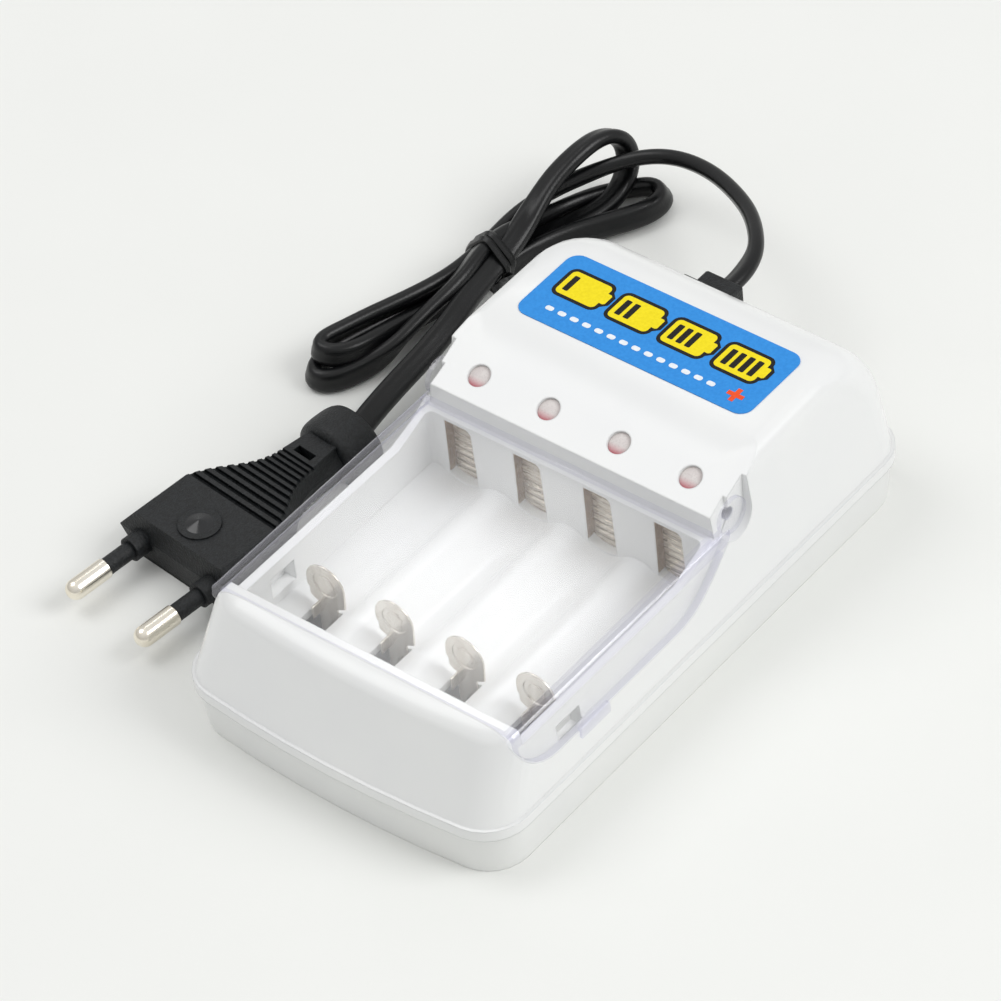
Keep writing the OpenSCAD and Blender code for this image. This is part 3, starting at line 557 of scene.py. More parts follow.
@dataclass
class SoftenedNode:
    """A CAD node's own form, evenly shaded, with rounded edges where pressed metal has room for them."""

    node: str
    name: str
    slot: str
    body: str = BODY
    edge_mm: float = 0.0
    edge_angle: float = 35.0
    rings: int = 2
    room_share: float = 0.4
    narrow_mm: float = 1.6
    flat_angle: float = 0.3

    def build(self, finish: Material, edge_finish: Material | None = None) -> Piece:
        """Copies the node, merges its triangles and rounds its edges as far as they have room.

        Args:
            finish: Material of the piece.
            edge_finish: Material of its narrow faces, where it is another.

        Returns:
            The piece that stands for the node.
        """
        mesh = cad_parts[self.node].data.copy()
        shape = bmesh.new()
        shape.from_mesh(mesh)
        bmesh.ops.remove_doubles(shape, verts=shape.verts, dist=WELD)
        self.reshape(shape)
        if self.edge_mm or edge_finish:
            flat = math.radians(self.flat_angle)
            bmesh.ops.dissolve_limit(shape, angle_limit=flat, verts=shape.verts, edges=shape.edges)
            shape.normal_update()
        if self.edge_mm:
            self.weigh_edges(shape)
        for face in shape.faces:
            face.material_index = int(bool(edge_finish) and self.is_narrow(face))
        shape.to_mesh(mesh)
        shape.free()
        for layer in list(mesh.uv_layers):
            mesh.uv_layers.remove(layer)
        if "custom_normal" in mesh.attributes:
            mesh.attributes.remove(mesh.attributes["custom_normal"])
        kept = [face.material_index for face in mesh.polygons]
        piece = new_piece(self.name, mesh, finish)
        if edge_finish:
            mesh.materials.append(edge_finish)
            mesh.polygons.foreach_set("material_index", kept)
        smooth_by_angle(mesh, self.edge_angle)
        if self.edge_mm:
            edges = piece.modifiers.new("rounded_edges", "BEVEL")
            edges.limit_method = "WEIGHT"
            edges.width = self.edge_mm * MM
            edges.segments = self.rings
            edges.use_clamp_overlap = False
            edges.miter_outer = "MITER_ARC"
        normals = piece.modifiers.new("even_normals", "WEIGHTED_NORMAL")
        normals.keep_sharp = True
        applied(piece)
        return fitted(piece, self.slot, self.node, body=self.body)

    def reshape(self, shape: bmesh.types.BMesh) -> None:
        """Leaves the form as it is, for nodes that need nothing more."""

    def weigh_edges(self, shape: bmesh.types.BMesh) -> None:
        """Marks the edges to round, each as wide as its faces have room for.

        Args:
            shape: Mesh of the node.
        """
        width = self.edge_mm * MM
        weight = shape.edges.layers.float.new("bevel_weight_edge")
        for edge in shape.edges:
            if len(edge.link_faces) == 2 and edge.calc_face_angle() > math.radians(self.edge_angle):
                edge[weight] = min(1.0, self.room_share * edge_room(edge, 10 * width) / width)

    def is_narrow(self, face: bmesh.types.BMFace) -> bool:
        """Tells whether a face is as narrow as the edge of a sheet."""
        longest = max(face.edges, key=lambda edge: edge.calc_length())
        return face.calc_area() / longest.calc_length() < self.narrow_mm * MM


@dataclass
class Case:
    """Both moulded halves of the case."""

    slot: str = "case_white"

    def build(self) -> None:
        """Makes the upper and lower shells."""
        SoftenedNode("upper_case", "upper_shell", self.slot).build(CASE_ABS.material())
        SoftenedNode("lower_case", "lower_shell", self.slot).build(BASE_ABS.material())


@dataclass
class Lid:
    """Clear hinged cover over the cells."""

    sheet_mm: float = 1.4
    edge_slack: float = 0.2

    def build(self) -> None:
        """Makes the clear lid on its own body, its folds and cut edges apart from its flat faces."""
        narrow = self.sheet_mm + self.edge_slack
        sheet = SoftenedNode("battery_lid", "clear_lid", "lid_clear", body="lid", narrow_mm=narrow)
        sheet.build(LID_STYRENE.material(), LID_EDGE.material())


@dataclass
class Contacts:
    """Plated plates at both ends of each slot, with the springs and the bus under the floor."""

    count: int = 4
    pitch: float = 15.6
    slider_edge_mm: float = 0.12
    window_left: float = -3.55
    window_right: float = 1.5
    window_z: Pair = (12.7, 25.0)
    reveal: float = 1.9
    lip_t: float = 0.14
    lip_gap: float = 0.01
    lip_behind: float = 0.2
    slot: str = "contact_nickel"

    def build(self) -> None:
        """Makes the plates of every slot and dresses the metal that stays as CAD made it."""
        plate = CONTACT_NICKEL.material()
        # Slider plating in a brighter tone, painted light for the lid's glare; the bus shares it
        slider = GLARE_SLIDER_NICKEL.material()
        spring = SPRING_STEEL.material()
        for n in range(1, self.count + 1):
            SoftenedNode(f"positive_contact_{n}", f"contact_plate_{n}", self.slot).build(plate)
            body, edge = f"slider_{n}", self.slider_edge_mm
            SoftenedNode(f"negative_slider_{n}", f"slider_plate_{n}", self.slot, body, edge).build(slider)
            dress_node(f"slider_spring_{n}", spring)
        dress_node("negative_bus", slider)
        self.shade_lips(SHADE_LIP_NICKEL.material())

    def shade_lips(self, finish: Material) -> None:
        """Lines the left side and the top of every window with a thin dull brown strip of plating, painted
        shade over the reveals.

        Args:
            finish: Material of the strips, in its painted shade.
        """
        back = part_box("positive_contact_1")[0].y / MM + self.lip_behind
        front = back - self.reveal
        low, high = self.window_z
        left, right, t = self.window_left, self.window_right, self.lip_t
        top = high - self.lip_gap
        points: list = []
        faces: list = []
        # Dull brown strips over the reveals: painted shade
        add_box(points, faces, (left + self.lip_gap, front, low), (left + t, back, top))
        add_box(points, faces, (left + t, front, high - t), (right, back, top))
        piece = solid("contact_shade_lips", points, faces, finish)
        repeat_across(piece, self.count, self.pitch * MM, finish)
        fitted(piece, self.slot)


def add_box(points: list, faces: list, first: Triple, last: Triple) -> None:
    """Adds a box between two corners, given in millimetres.

    Args:
        points: Corners so far, in metres, which it adds to.
        faces: Faces so far, which it adds to.
        first: Lowest corner.
        last: Highest corner.
    """
    start = len(points)
    across, along, up = zip(first, last)
    points += [(x * MM, y * MM, z * MM) for x in across for y in along for z in up]
    sides = ((0, 1, 3, 2), (4, 6, 7, 5), (0, 4, 5, 1), (2, 3, 7, 6), (0, 2, 6, 4), (1, 5, 7, 3))
    faces += [[start + i for i in side] for side in sides]


def dress_node(node: str, finish: Material) -> None:
    """Gives a CAD node that stays in view its finish.

    Args:
        node: Name of the node.
        finish: Its material.
    """
    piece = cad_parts[node]
    if not piece.material_slots:
        piece.data.materials.append(finish)
    for place in piece.material_slots:
        place.material = finish
    report(piece)


@dataclass
class Inside:
    """Circuit, lamps and screws, which keep their CAD forms, and the frosted lenses in the lamp holes."""

    lamps: int = 4
    lens_r: float = 2.205
    lens_depth: float = 0.55
    lens_dome: float = 0.3
    lens_skirt: float = 1.2
    slope: float = 24.75
    hole_up: float = 5.2
    slope_foot: Pair = (8.6, 30.3)
    around: int = 40
    dome_degrees: tuple[int, ...] = (0, 18, 36, 54, 72)

    def build(self) -> None:
        """Dresses the inner parts and makes the lenses."""
        dress_node("circuit_board", BOARD_PHENOLIC.material())
        dress_node("transformer", TAPE_YELLOW.material())
        dress_node("filter_capacitor", SLEEVE_BLUE.material())
        dress_node("case_screws", SCREW_STEEL.material())
        lamp = LAMP_EPOXY.material()
        for number in range(1, self.lamps + 1):
            dress_node(f"led_{number}", lamp)
            self.lens(number, lamp)

    def lens(self, number: int, finish: Material) -> None:
        """Makes the low dome that fills one lamp hole.

        Args:
            number: Which lamp.
            finish: Material of the lens.
        """
        low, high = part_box(f"led_{number}")
        tilt = math.radians(self.slope)
        middle = Vector((
            (low.x + high.x) / 2,
            (self.slope_foot[0] + self.hole_up * math.cos(tilt)) * MM,
            (self.slope_foot[1] + self.hole_up * math.sin(tilt)) * MM,
        ))
        turn = Matrix.Rotation(tilt, 3, "X")
        profile = [(self.lens_r, -self.lens_depth - self.lens_skirt)]
        for rise in map(math.radians, self.dome_degrees):
            profile.append((self.lens_r * math.cos(rise), self.lens_dome * math.sin(rise) - self.lens_depth))
        points = [
            middle + turn @ Vector((r * math.cos(a), r * math.sin(a), h)) * MM
            for r, h in profile
            for a in angles(self.around)
        ]
        faces = ring_faces(len(profile), self.around)
        fitted(solid(f"lamp_lens_{number}", points, faces, finish, smooth_to=40), "led_red")


class Print(Enum):
    """Printed layers of the label, from the lowest up, with their heights over the sticker in millimetres."""

    OUTLINE = 0.012
    FILL = 0.024
    MARK = 0.036


@dataclass
class Label:
    """Blue sticker on the head, printed with four cells that fill up, and a line of small marks."""

    count: int = 4
    spacing: float = 11.7
    cell_w: float = 8.8
    cell_l: float = 6.4
    cap_w: float = 1.1
    cap_l: float = 2.8
    cap_corner: float = 0.3
    outline: float = 0.75
    corner: float = 1.0
    row_up: float = 1.9
    row_left: float = 0.5
    bar_w: float = 1.2
    bar_l: float = 4.2
    bar_step: float = 1.9
    bar_corner: float = 0.25
    plus_arm: float = 1.7
    plus_bar: float = 1.0
    plus_at: Pair = (21.0, -5.4)
    ink_t: float = 0.02
    tick_count: int = 14
    tick_w: float = 1.7
    tick_l: float = 1.1
    tick_corner: float = 0.5
    tick_step: float = 2.75
    tick_at: Pair = (-2.2, -5.4)
    edge_mm: float = 0.06
    centre: Vector | None = None
    top: float = 0.0

    def build(self) -> None:
        """Makes the sticker and its print."""
        sticker = SoftenedNode("label", "label_sticker", "label_blue", edge_mm=self.edge_mm)
        sticker.build(LABEL_VINYL.material())
        low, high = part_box("label")
        self.centre = (low + high) / 2
        self.top = high.z
        black = BLACK_INK.material()
        self.row("label_outlines", self.cell_shape(self.outline), Print.OUTLINE, black)
        self.row("label_cells", self.cell_shape(0), Print.FILL, YELLOW_INK.material())
        for number in range(1, self.count + 1):
            self.bars(number, black)
        tick = rounded_outline(*self.tick_at, self.tick_w, self.tick_l, self.tick_corner)
        self.row("label_ticks", tick, Print.FILL, WHITE_INK.material(), self.tick_count, self.tick_step)
        self.row("label_plus", self.plus_shape(), Print.FILL, ORANGE_INK.material(), 1)

    def cell_shape(self, grown: float) -> list[Pair]:
        """Outlines the body and the terminal of a pictogram in one line.

        Args:
            grown: How far the outline lies outside it.

        Returns:
            Corner points, in millimetres.
        """
        width, length = self.cell_w + 2 * grown, self.cell_l + 2 * grown
        body = rounded_outline(-self.row_left, self.row_up, width, length, self.corner + grown)
        side = width / 2 - self.row_left
        tip = side + self.cap_w
        half = self.cap_l / 2 + grown
        ease = min(self.cap_corner + grown, half / 2)
        corner = [(side, half), (tip - ease, half), (tip, half - ease)]
        cap = [(x, -y) for x, y in corner] + corner[::-1]
        return [(x, y + self.row_up) for x, y in cap] + body

    def bars(self, number: int, finish: Material) -> None:
        """Prints the charge bars of one pictogram, one more in each.

        Args:
            number: Which pictogram, and how many bars.
            finish: Ink.
        """
        cell_x = (number - (self.count + 1) / 2) * self.spacing - self.row_left
        first = cell_x - (self.count - 1) / 2 * self.bar_step
        middle = first + (number - 1) / 2 * self.bar_step
        bar = rounded_outline(middle, self.row_up, self.bar_w, self.bar_l, self.bar_corner)
        self.row(f"label_bars_{number}", bar, Print.MARK, finish, number, self.bar_step)

    def plus_shape(self) -> list[Pair]:
        """Outlines a plus sign.

        Returns:
            Corner points in millimetres, anticlockwise.
        """
        arm, half = self.plus_arm, self.plus_bar / 2
        quarter = [(arm, -half), (arm, half), (half, half)]
        points = []
        for turn in range(4):
            c, s = round(math.cos(turn * math.pi / 2)), round(math.sin(turn * math.pi / 2))
            points += [(self.plus_at[0] + x * c - y * s, self.plus_at[1] + x * s + y * c) for x, y in quarter]
        return points

    def row(
        self,
        name: str,
        outline: list[Pair],
        layer: Print,
        finish: Material,
        count: int | None = None,
        step: float | None = None,
    ) -> None:
        """Prints a row of equal figures.

        Args:
            name: Name of the piece.
            outline: One figure, in millimetres about the label's middle.
            layer: Height of this ink over the sticker.
            finish: Ink.
            count: Figures in the row, or the label's own count.
            step: Distance between figures, or the label's own spacing.
        """
        base = self.top + layer.value * MM
        points = [
            (self.centre.x + x * MM, self.centre.y + y * MM, z)
            for z in (base, base + self.ink_t * MM / 2)
            for x, y in outline
        ]
        piece = solid(name, points, ring_faces(2, len(outline)), finish)
        repeat_across(piece, count or self.count, (step or self.spacing) * MM, finish)
        fitted(piece, "label_blue")


def rounded_outline(x: float, y: float, w: float, l: float, r: float, steps: int = 5) -> list[Pair]:
    """Outlines a rectangle with round corners.

    Args:
        x: Middle, across.
        y: Middle, along.
        w: Width.
        l: Length.
        r: Corner radius.
        steps: Segments in each corner.

    Returns:
        Points in order, anticlockwise.
    """
    r = min(r, w / 2.01, l / 2.01)
    points = []
    for turn, (sx, sy) in enumerate([(1, 1), (-1, 1), (-1, -1), (1, -1)]):
        cx, cy = x + sx * (w / 2 - r), y + sy * (l / 2 - r)
        for i in range(steps + 1):
            a = math.radians(90 * (turn + i / steps))
            points.append((cx + r * math.cos(a), cy + r * math.sin(a)))
    return points


def repeat_across(piece: Piece, count: int, step: float, finish: Material) -> None:
    """Repeats a piece's mesh in an even row across the part with Geometry Nodes.

    Args:
        piece: Object whose mesh is one figure, at the middle of the row.
        count: Figures in the row.
        step: Distance between figures, in metres.
        finish: Material of every figure.
    """
    tree = bpy.data.node_groups.new("even_row", "GeometryNodeTree")
    sockets = {}
    for label, kind in (
        ("Geometry", "NodeSocketGeometry"),
        ("Count", "NodeSocketInt"),
        ("Step", "NodeSocketFloat"),
        ("Finish", "NodeSocketMaterial"),
    ):
        sockets[label] = tree.interface.new_socket(label, in_out="INPUT", socket_type=kind).identifier
    tree.interface.new_socket("Geometry", in_out="OUTPUT", socket_type="NodeSocketGeometry")
    given = add_node(tree, "NodeGroupInput").outputs
    index = add_node(tree, "GeometryNodeInputIndex").outputs[0]
    gaps = add_node(tree, "ShaderNodeMath", {0: given["Count"], 1: 1.0}, operation="SUBTRACT").outputs[0]
    middle = add_node(tree, "ShaderNodeMath", {0: gaps, 1: 2.0}, operation="DIVIDE").outputs[0]
    offset = add_node(tree, "ShaderNodeMath", {0: index, 1: middle}, operation="SUBTRACT").outputs[0]
    place = add_node(tree, "ShaderNodeMath", {0: offset, 1: given["Step"]}, operation="MULTIPLY").outputs[0]
    spot = add_node(tree, "ShaderNodeCombineXYZ", {"X": place}).outputs["Vector"]
    points = add_node(tree, "GeometryNodePoints", {"Count": given["Count"], "Position": spot}).outputs[0]
    figures = {"Points": points, "Instance": given["Geometry"]}
    copies = add_node(tree, "GeometryNodeInstanceOnPoints", figures).outputs[0]
    plain = add_node(tree, "GeometryNodeRealizeInstances", {"Geometry": copies}).outputs[0]
    dressed = {"Geometry": plain, "Material": given["Finish"]}
    inked = add_node(tree, "GeometryNodeSetMaterial", dressed).outputs[0]
    add_node(tree, "NodeGroupOutput", {"Geometry": inked})
    rows = piece.modifiers.new("row", "NODES")
    rows.node_group = tree
    rows[sockets["Count"]] = count
    rows[sockets["Step"]] = step
    rows[sockets["Finish"]] = finish
    applied(piece)


@dataclass(frozen=True)
class Stretch:
    """A stretch of the cord: its route in millimetres, and which way its wide side turns."""

    route: tuple[Triple, ...]
    wide: Triple


LEAD_ROUTE = (
    (-8, 64, 22), (-8.1, 70.5, 22), (-10.4, 77, 21.5), (-13.9, 81.6, 20.5), (-19.5, 87, 19),
    (-25.8, 91.1, 17.5), (-32.7, 94.5, 16), (-39.2, 96.5, 14.5), (-45.3, 97.2, 13),
    (-49.7, 96.2, 12), (-53.2, 94.2, 11), (-56.2, 91.4, 10),
)
PLUG_ROUTE = (
    (-58.2, 51, 6.8), (-56.8, 44.5, 6.6), (-55.7, 38.5, 6.3), (-55.3, 32, 5.8), (-54.9, 24, 5.4),
    (-54.2, 17, 5.2), (-53.3, 11.2, 5.05),
)

CORD_STRETCHES = (
    Stretch(LEAD_ROUTE[:2], (0.8, 0.0, 0.6)),
    Stretch(LEAD_ROUTE[2:], (0.49, -0.53, 0.69)),
    Stretch(
        ((-58.9, 88, 9), (-61.6, 84.4, 8), (-63.8, 80.4, 7), (-65, 76, 6.2), (-65.4, 69, 5.8)),
        (0.5, -0.2, 0.8),
    ),
    Stretch(((-65.2, 61.5, 5.6), (-65.3, 53, 6)), (0.5, 0.0, 0.85)),
    Stretch(((-67.2, 44.3, 6.4), (-70.7, 35.1, 6.4), (-72.8, 28.2, 6.4)), (0.45, -0.1, 0.88)),
    Stretch(((-74.1, 23.6, 6.4), (-71.2, 22, 6.4), (-67.4, 25, 6.2)), (0.1, 0.3, 0.95)),
    Stretch(((-65.6, 30.6, 5.4), (-65.8, 38.4, 3.8)), (-0.2, 0.1, 0.95)),
    Stretch(((-64.6, 49, 2.3), (-60.9, 61.5, 2.6)), (0.2, 0.0, 0.98)),
    Stretch(
        ((-58.1, 71.4, 3), (-55.3, 77.6, 3), (-51.4, 83.7, 3.1), (-48.3, 88.2, 3.1)),
        (-0.45, 0.2, 0.87),
    ),
    Stretch(((-46.1, 93.5, 3.1), (-47.3, 97.2, 3), (-50.4, 98.4, 2.9)), (-0.3, -0.4, 0.87)),
    Stretch(
        ((-53.6, 96, 2.7), (-57.6, 91.6, 2.6), (-59.7, 88, 2.6), (-61.8, 82.5, 2.8), (-62.4, 77, 4)),
        (0.3, -0.4, 0.87),
    ),
    Stretch(((-62.9, 70, 7), (-62.9, 61.5, 8.6)), (0.6, 0.0, 0.6)),
    Stretch(((-61, 50.9, 8.2), (-62, 43.1, 6.6), (-62.6, 35.8, 5.2)), (0.6, 0.2, 0.75)),
    Stretch(((-64.2, 29, 3), (-66.6, 23, 2.5), (-69.3, 19.3, 2.4)), (-0.1, 0.1, 0.95)),
    Stretch(((-72.4, 19.6, 2.4), (-73.8, 23.4, 2.4)), (0.2, 0.3, 0.9)),
    Stretch(((-72.6, 30, 2.4), (-70.2, 38, 2.4), (-67.6, 48, 2.4), (-64.2, 61.5, 2.3)), (0.3, 0.0, 0.95)),
    Stretch(((-61.6, 72, 2.2), (-57.8, 81, 2.2), (-55.8, 86.4, 2.4), (-54.6, 91, 3.6)), (0.9, -0.3, 0.1)),
    Stretch(
        ((-55.6, 95.6, 5.2), (-56.9, 98.2, 7.2), (-57.3, 98.4, 9.6), (-58.1, 97.4, 12.4)),
        (0.95, 0.2, 0.1),
    ),
    Stretch(
        ((-59, 94.7, 14.4), (-59.7, 89.8, 15), (-60.3, 84.6, 14.2), (-61, 80.2, 12.8), (-60.9, 75.5, 10.8)),
        (0.9, 0.1, 0.3),
    ),
    Stretch(((-60.3, 69.5, 8.8), (-59.6, 62.9, 7)), (0.85, 0.1, -0.4)),
    Stretch(PLUG_ROUTE[:3], (0.82, 0.0, -0.56)),
    Stretch(PLUG_ROUTE[3:], (0.86, 0.0, -0.5)),
)


def between(t: float, times: Pair, ends: np.ndarray) -> np.ndarray:
    """Goes from one point to another as a number runs between two times."""
    first, last = times
    return (last - t) / (last - first) * ends[0] + (t - first) / (last - first) * ends[1]


@dataclass
class Cord:
    """Flat twin cord from the grommet through its tied hank to the plug."""

    width: float = 4.8
    thick: float = 3.0
    groove: float = 0.14
    groove_w: float = 0.55
    flat_by: float = 1.9
    around: int = 36
    step: float = 0.8
    curve_steps: int = 16
    clear: float = 3.1
    settle_rounds: int = 60
    push_by: float = 0.12
    settle_by: float = 0.08
    held_mm: float = 6.0
    over_floor: float = 0.5
    ease_rounds: int = 10
    ease_by: float = 0.25
    turn_rounds: int = 12
    lift_rounds: int = 8
    lowest: float = 0.02
    exit_point: Triple = (-8.0, 64.7, 22.0)
    path: np.ndarray | None = None
    rings: np.ndarray | None = None

    def centreline(self) -> tuple[np.ndarray, np.ndarray]:
        """Runs one smooth curve through the route.

        Returns:
            Points an even step apart, and the direction of the wide side at each.
        """
        knots = np.array([p for s in CORD_STRETCHES for p in s.route], float)
        wide = np.array([s.wide for s in CORD_STRETCHES for _ in s.route], float)
        line = np.vstack([2 * knots[0] - knots[1], knots, 2 * knots[-1] - knots[-2]])
        gaps = np.sqrt(np.linalg.norm(np.diff(line, axis=0), axis=1))
        times = np.concatenate([[0], np.cumsum(gaps)])
        points, turns = [], []
        for i in range(1, len(line) - 2):
            span = times[i:i + 2]
            for t in np.linspace(*span, self.curve_steps, endpoint=False):
                chords = [between(t, times[k:k + 2], line[k:k + 2]) for k in (i - 1, i, i + 1)]
                bends = [between(t, times[i + k - 1:i + k + 2:2], chords[k:k + 2]) for k in (0, 1)]
                points.append(between(t, span, bends))
                turns.append(between(t, span, wide[i - 1:i + 1]))
        points.append(knots[-1])
        turns.append(wide[-1])
        return self.even(np.array(points), np.array(turns))

    def even(self, points: np.ndarray, turns: np.ndarray) -> tuple[np.ndarray, np.ndarray]:
        """Spaces points evenly along their own line.

        Args:
            points: Points of the line.
            turns: Direction of the wide side at each.

        Returns:
            Both lists at an even step.
        """
        run = np.concatenate([[0], np.cumsum(np.linalg.norm(np.diff(points, axis=0), axis=1))])
        places = np.linspace(0, run[-1], int(round(run[-1] / self.step)) + 1)
        spread = np.stack([np.interp(places, run, points[:, k]) for k in range(3)], axis=1)
        turned = np.stack([np.interp(places, run, turns[:, k]) for k in range(3)], axis=1)
        return spread, turned

    def settled(self, points: np.ndarray) -> np.ndarray:
        """Pushes strands that lie in each other apart and eases the bends.

        Args:
            points: Evenly spaced centreline.

        Returns:
            The centreline after it has settled.
        """
        order = np.arange(len(points))
        apart = np.abs(np.subtract.outer(order, order)) * self.step > 3 * self.width
        held = int(self.held_mm / self.step)
        for _ in range(self.settle_rounds):
            gap = points[:, None, :] - points[None, :, :]
            near = np.linalg.norm(gap, axis=2)
            push = np.where(apart & (near < self.clear), (self.clear - near) / np.maximum(near, 1e-6), 0)
            moved = points + self.push_by * (gap * push[:, :, None]).sum(axis=1)
            moved[1:-1] += self.settle_by * (moved[:-2] + moved[2:] - 2 * moved[1:-1])
            moved[:, 2] = np.maximum(moved[:, 2], self.thick / 2 + self.over_floor)
            moved[:held] = points[:held]
            moved[-held:] = points[-held:]
            points = moved
        for _ in range(self.ease_rounds):
            points[1:-1] += self.ease_by * (points[:-2] + points[2:] - 2 * points[1:-1])
        return points

    def section(self) -> np.ndarray:
        """Outlines the cord's section, with a shallow groove between its two cores.

        Returns:
            Points across (wide side, thin side), in millimetres.
        """
        radius = self.thick / 2
        flat = self.width / 2 - radius
        points = []
        for a in angles(self.around):
            side = math.copysign(flat * min(1.0, abs(math.cos(a)) * self.flat_by), math.cos(a))
            x = side + radius * math.cos(a)
            dip = self.groove * math.exp(-((x / self.groove_w) ** 2))
            points.append((x, (radius - dip) * math.sin(a)))
        return np.array(points)

    def lay(self) -> None:
        """Runs the cord along its route and turns its section at every step."""
        points, turns = self.centreline()
        points, turns = self.even(self.settled(points), turns)
        for _ in range(self.turn_rounds):
            turns[1:-1] = (turns[:-2] + turns[1:-1] + turns[2:]) / 3
        ahead = np.gradient(points, axis=0)
        ahead /= np.linalg.norm(ahead, axis=1)[:, None]
        wide = turns - (turns * ahead).sum(axis=1)[:, None] * ahead
        wide /= np.linalg.norm(wide, axis=1)[:, None]
        thin = np.cross(ahead, wide)
        outline = self.section()[None, :, :]
        across, over = outline[:, :, :1], outline[:, :, 1:]
        rings = points[:, None, :] + across * wide[:, None, :] + over * thin[:, None, :]
        lift = np.maximum(0, self.lowest - rings[:, :, 2].min(axis=1))
        for _ in range(self.lift_rounds):
            lift[1:-1] = np.maximum(lift[1:-1], (lift[:-2] + lift[2:]) / 2)
        rings[:, :, 2] += lift[:, None]
        points[:, 2] += lift
        self.rings = rings
        self.path = points * MM

    def build(self, with_pieces: list[Piece]) -> None:
        """Args:
            with_pieces: Plug, pins, tie and grommet, which lie on the cord; not used.
        """
        corners = (self.rings.reshape(-1, 3) * MM).tolist()
        faces = ring_faces(len(self.rings), self.around)
        cord = solid("flat_cord", corners, faces, CORD_PVC.material(), smooth_to=50)
        fitted(cord, "cord_black", "power_cord", "cord_hank", "plug_lead")


@dataclass
class Tie:
    """Wire tie: two turns of thin black band pulled tight round the hank, with a short twisted tail."""

    middle_y: float = 61.8
    lean: float = -0.12
    band_w: float = 1.5
    band_t: float = 0.7
    ridge: float = 0.2
    shoulder: Pair = (0.55, 0.7)
    turns: Pair = (-0.85, 0.85)
    around: int = 96
    hank_x: float = -40.0
    lowest: float = 0.03
    tail: tuple[Triple, ...] = (
        (-56.4, 60.6, 5.2), (-56.0, 58.6, 5.4), (-56.2, 56.8, 5.2), (-56.8, 55.4, 4.6),
    )
    tail_twist: float = 150.0
    tail_steps: int = 16

    def build(self, strands: np.ndarray) -> Piece:
        """Makes the turns and the tail.

        Args:
            strands: Points on the surface of the cord, in millimetres.

        Returns:
            The piece, which goes with the cord.
        """
        points: list = []
        faces: list = []
        for shift in self.turns:
            self.turn(strands, shift, points, faces)
        self.twisted_tail(points, faces)
        piece = solid("twist_tie", points, faces, TIE_PVC.material(), smooth_to=40)
        return fitted(piece, "cord_black", "cable_tie")

    def band(self) -> list[Pair]:
        """Outlines the band's section, with a ridge over its wire.

        Returns:
            Points along and out from the hank, in millimetres.
        """
        half = self.band_w / 2
        inward, up = self.shoulder
        side = [(half, 0.0), (half, self.band_t * up), (half * inward, self.band_t)]
        return [(-x, z) for x, z in side] + [(0.0, self.band_t + self.ridge)] + side[::-1]

    def turn(self, strands: np.ndarray, shift: float, points: list, faces: list) -> None:
        """Winds one turn tightly round the strands.

        Args:
            strands: Points on the surface of the cord.
            shift: How far this turn lies from the middle, along the hank.
            points: Corners so far, which it adds to.
            faces: Faces so far, which it adds to.
        """
        flat = strands.reshape(-1, 3)
        beside = np.abs(flat[:, 1] - self.middle_y - shift) < self.band_w
        close = flat[beside & (flat[:, 0] < self.hank_x)][:, [0, 2]]
        middle = close[:, 0].mean()
        section = self.band()
        faces += ring_faces(self.around, len(section), len(points), looped=True)
        for a in angles(self.around):
            outward = np.array([math.cos(a), math.sin(a)])
            edge = close[np.argmax(close @ outward)]
            for along, out in section:
                x, z = edge + outward * out
                y = self.middle_y + shift + along + (x - middle) * self.lean
                points.append((x * MM, y * MM, max(z, self.lowest) * MM))

    def twisted_tail(self, points: list, faces: list) -> None:
        """Adds the tail, a short length of the band that twists.

        Args:
            points: Corners so far, which it adds to.
            faces: Faces so far, which it adds to.
        """
        spots = np.array(self.tail)
        half_w, half_t = self.band_w / 2, self.band_t / 2
        faces += ring_faces(self.tail_steps + 1, 4, len(points))
        for k in range(self.tail_steps + 1):
            share = k / self.tail_steps * (len(spots) - 1)
            spot = np.array([np.interp(share, range(len(spots)), spots[:, axis]) for axis in range(3)])
            a = math.radians(self.tail_twist * k / self.tail_steps)
            wide = np.array([math.cos(a), 0.0, math.sin(a)])
            thin = np.array([-math.sin(a), 0.0, math.cos(a)])
            for u, v in ((-1, -1), (1, -1), (1, 1), (-1, 1)):
                points.append(tuple((spot + u * half_w * wide + v * half_t * thin) * MM))


PLUG_TURN = Matrix.Rotation(math.radians(-6.5), 4, "Z")
PLUG_PLACE = Matrix.Translation(Vector((-58.4, -33.5, 5.05)) * MM) @ PLUG_TURN


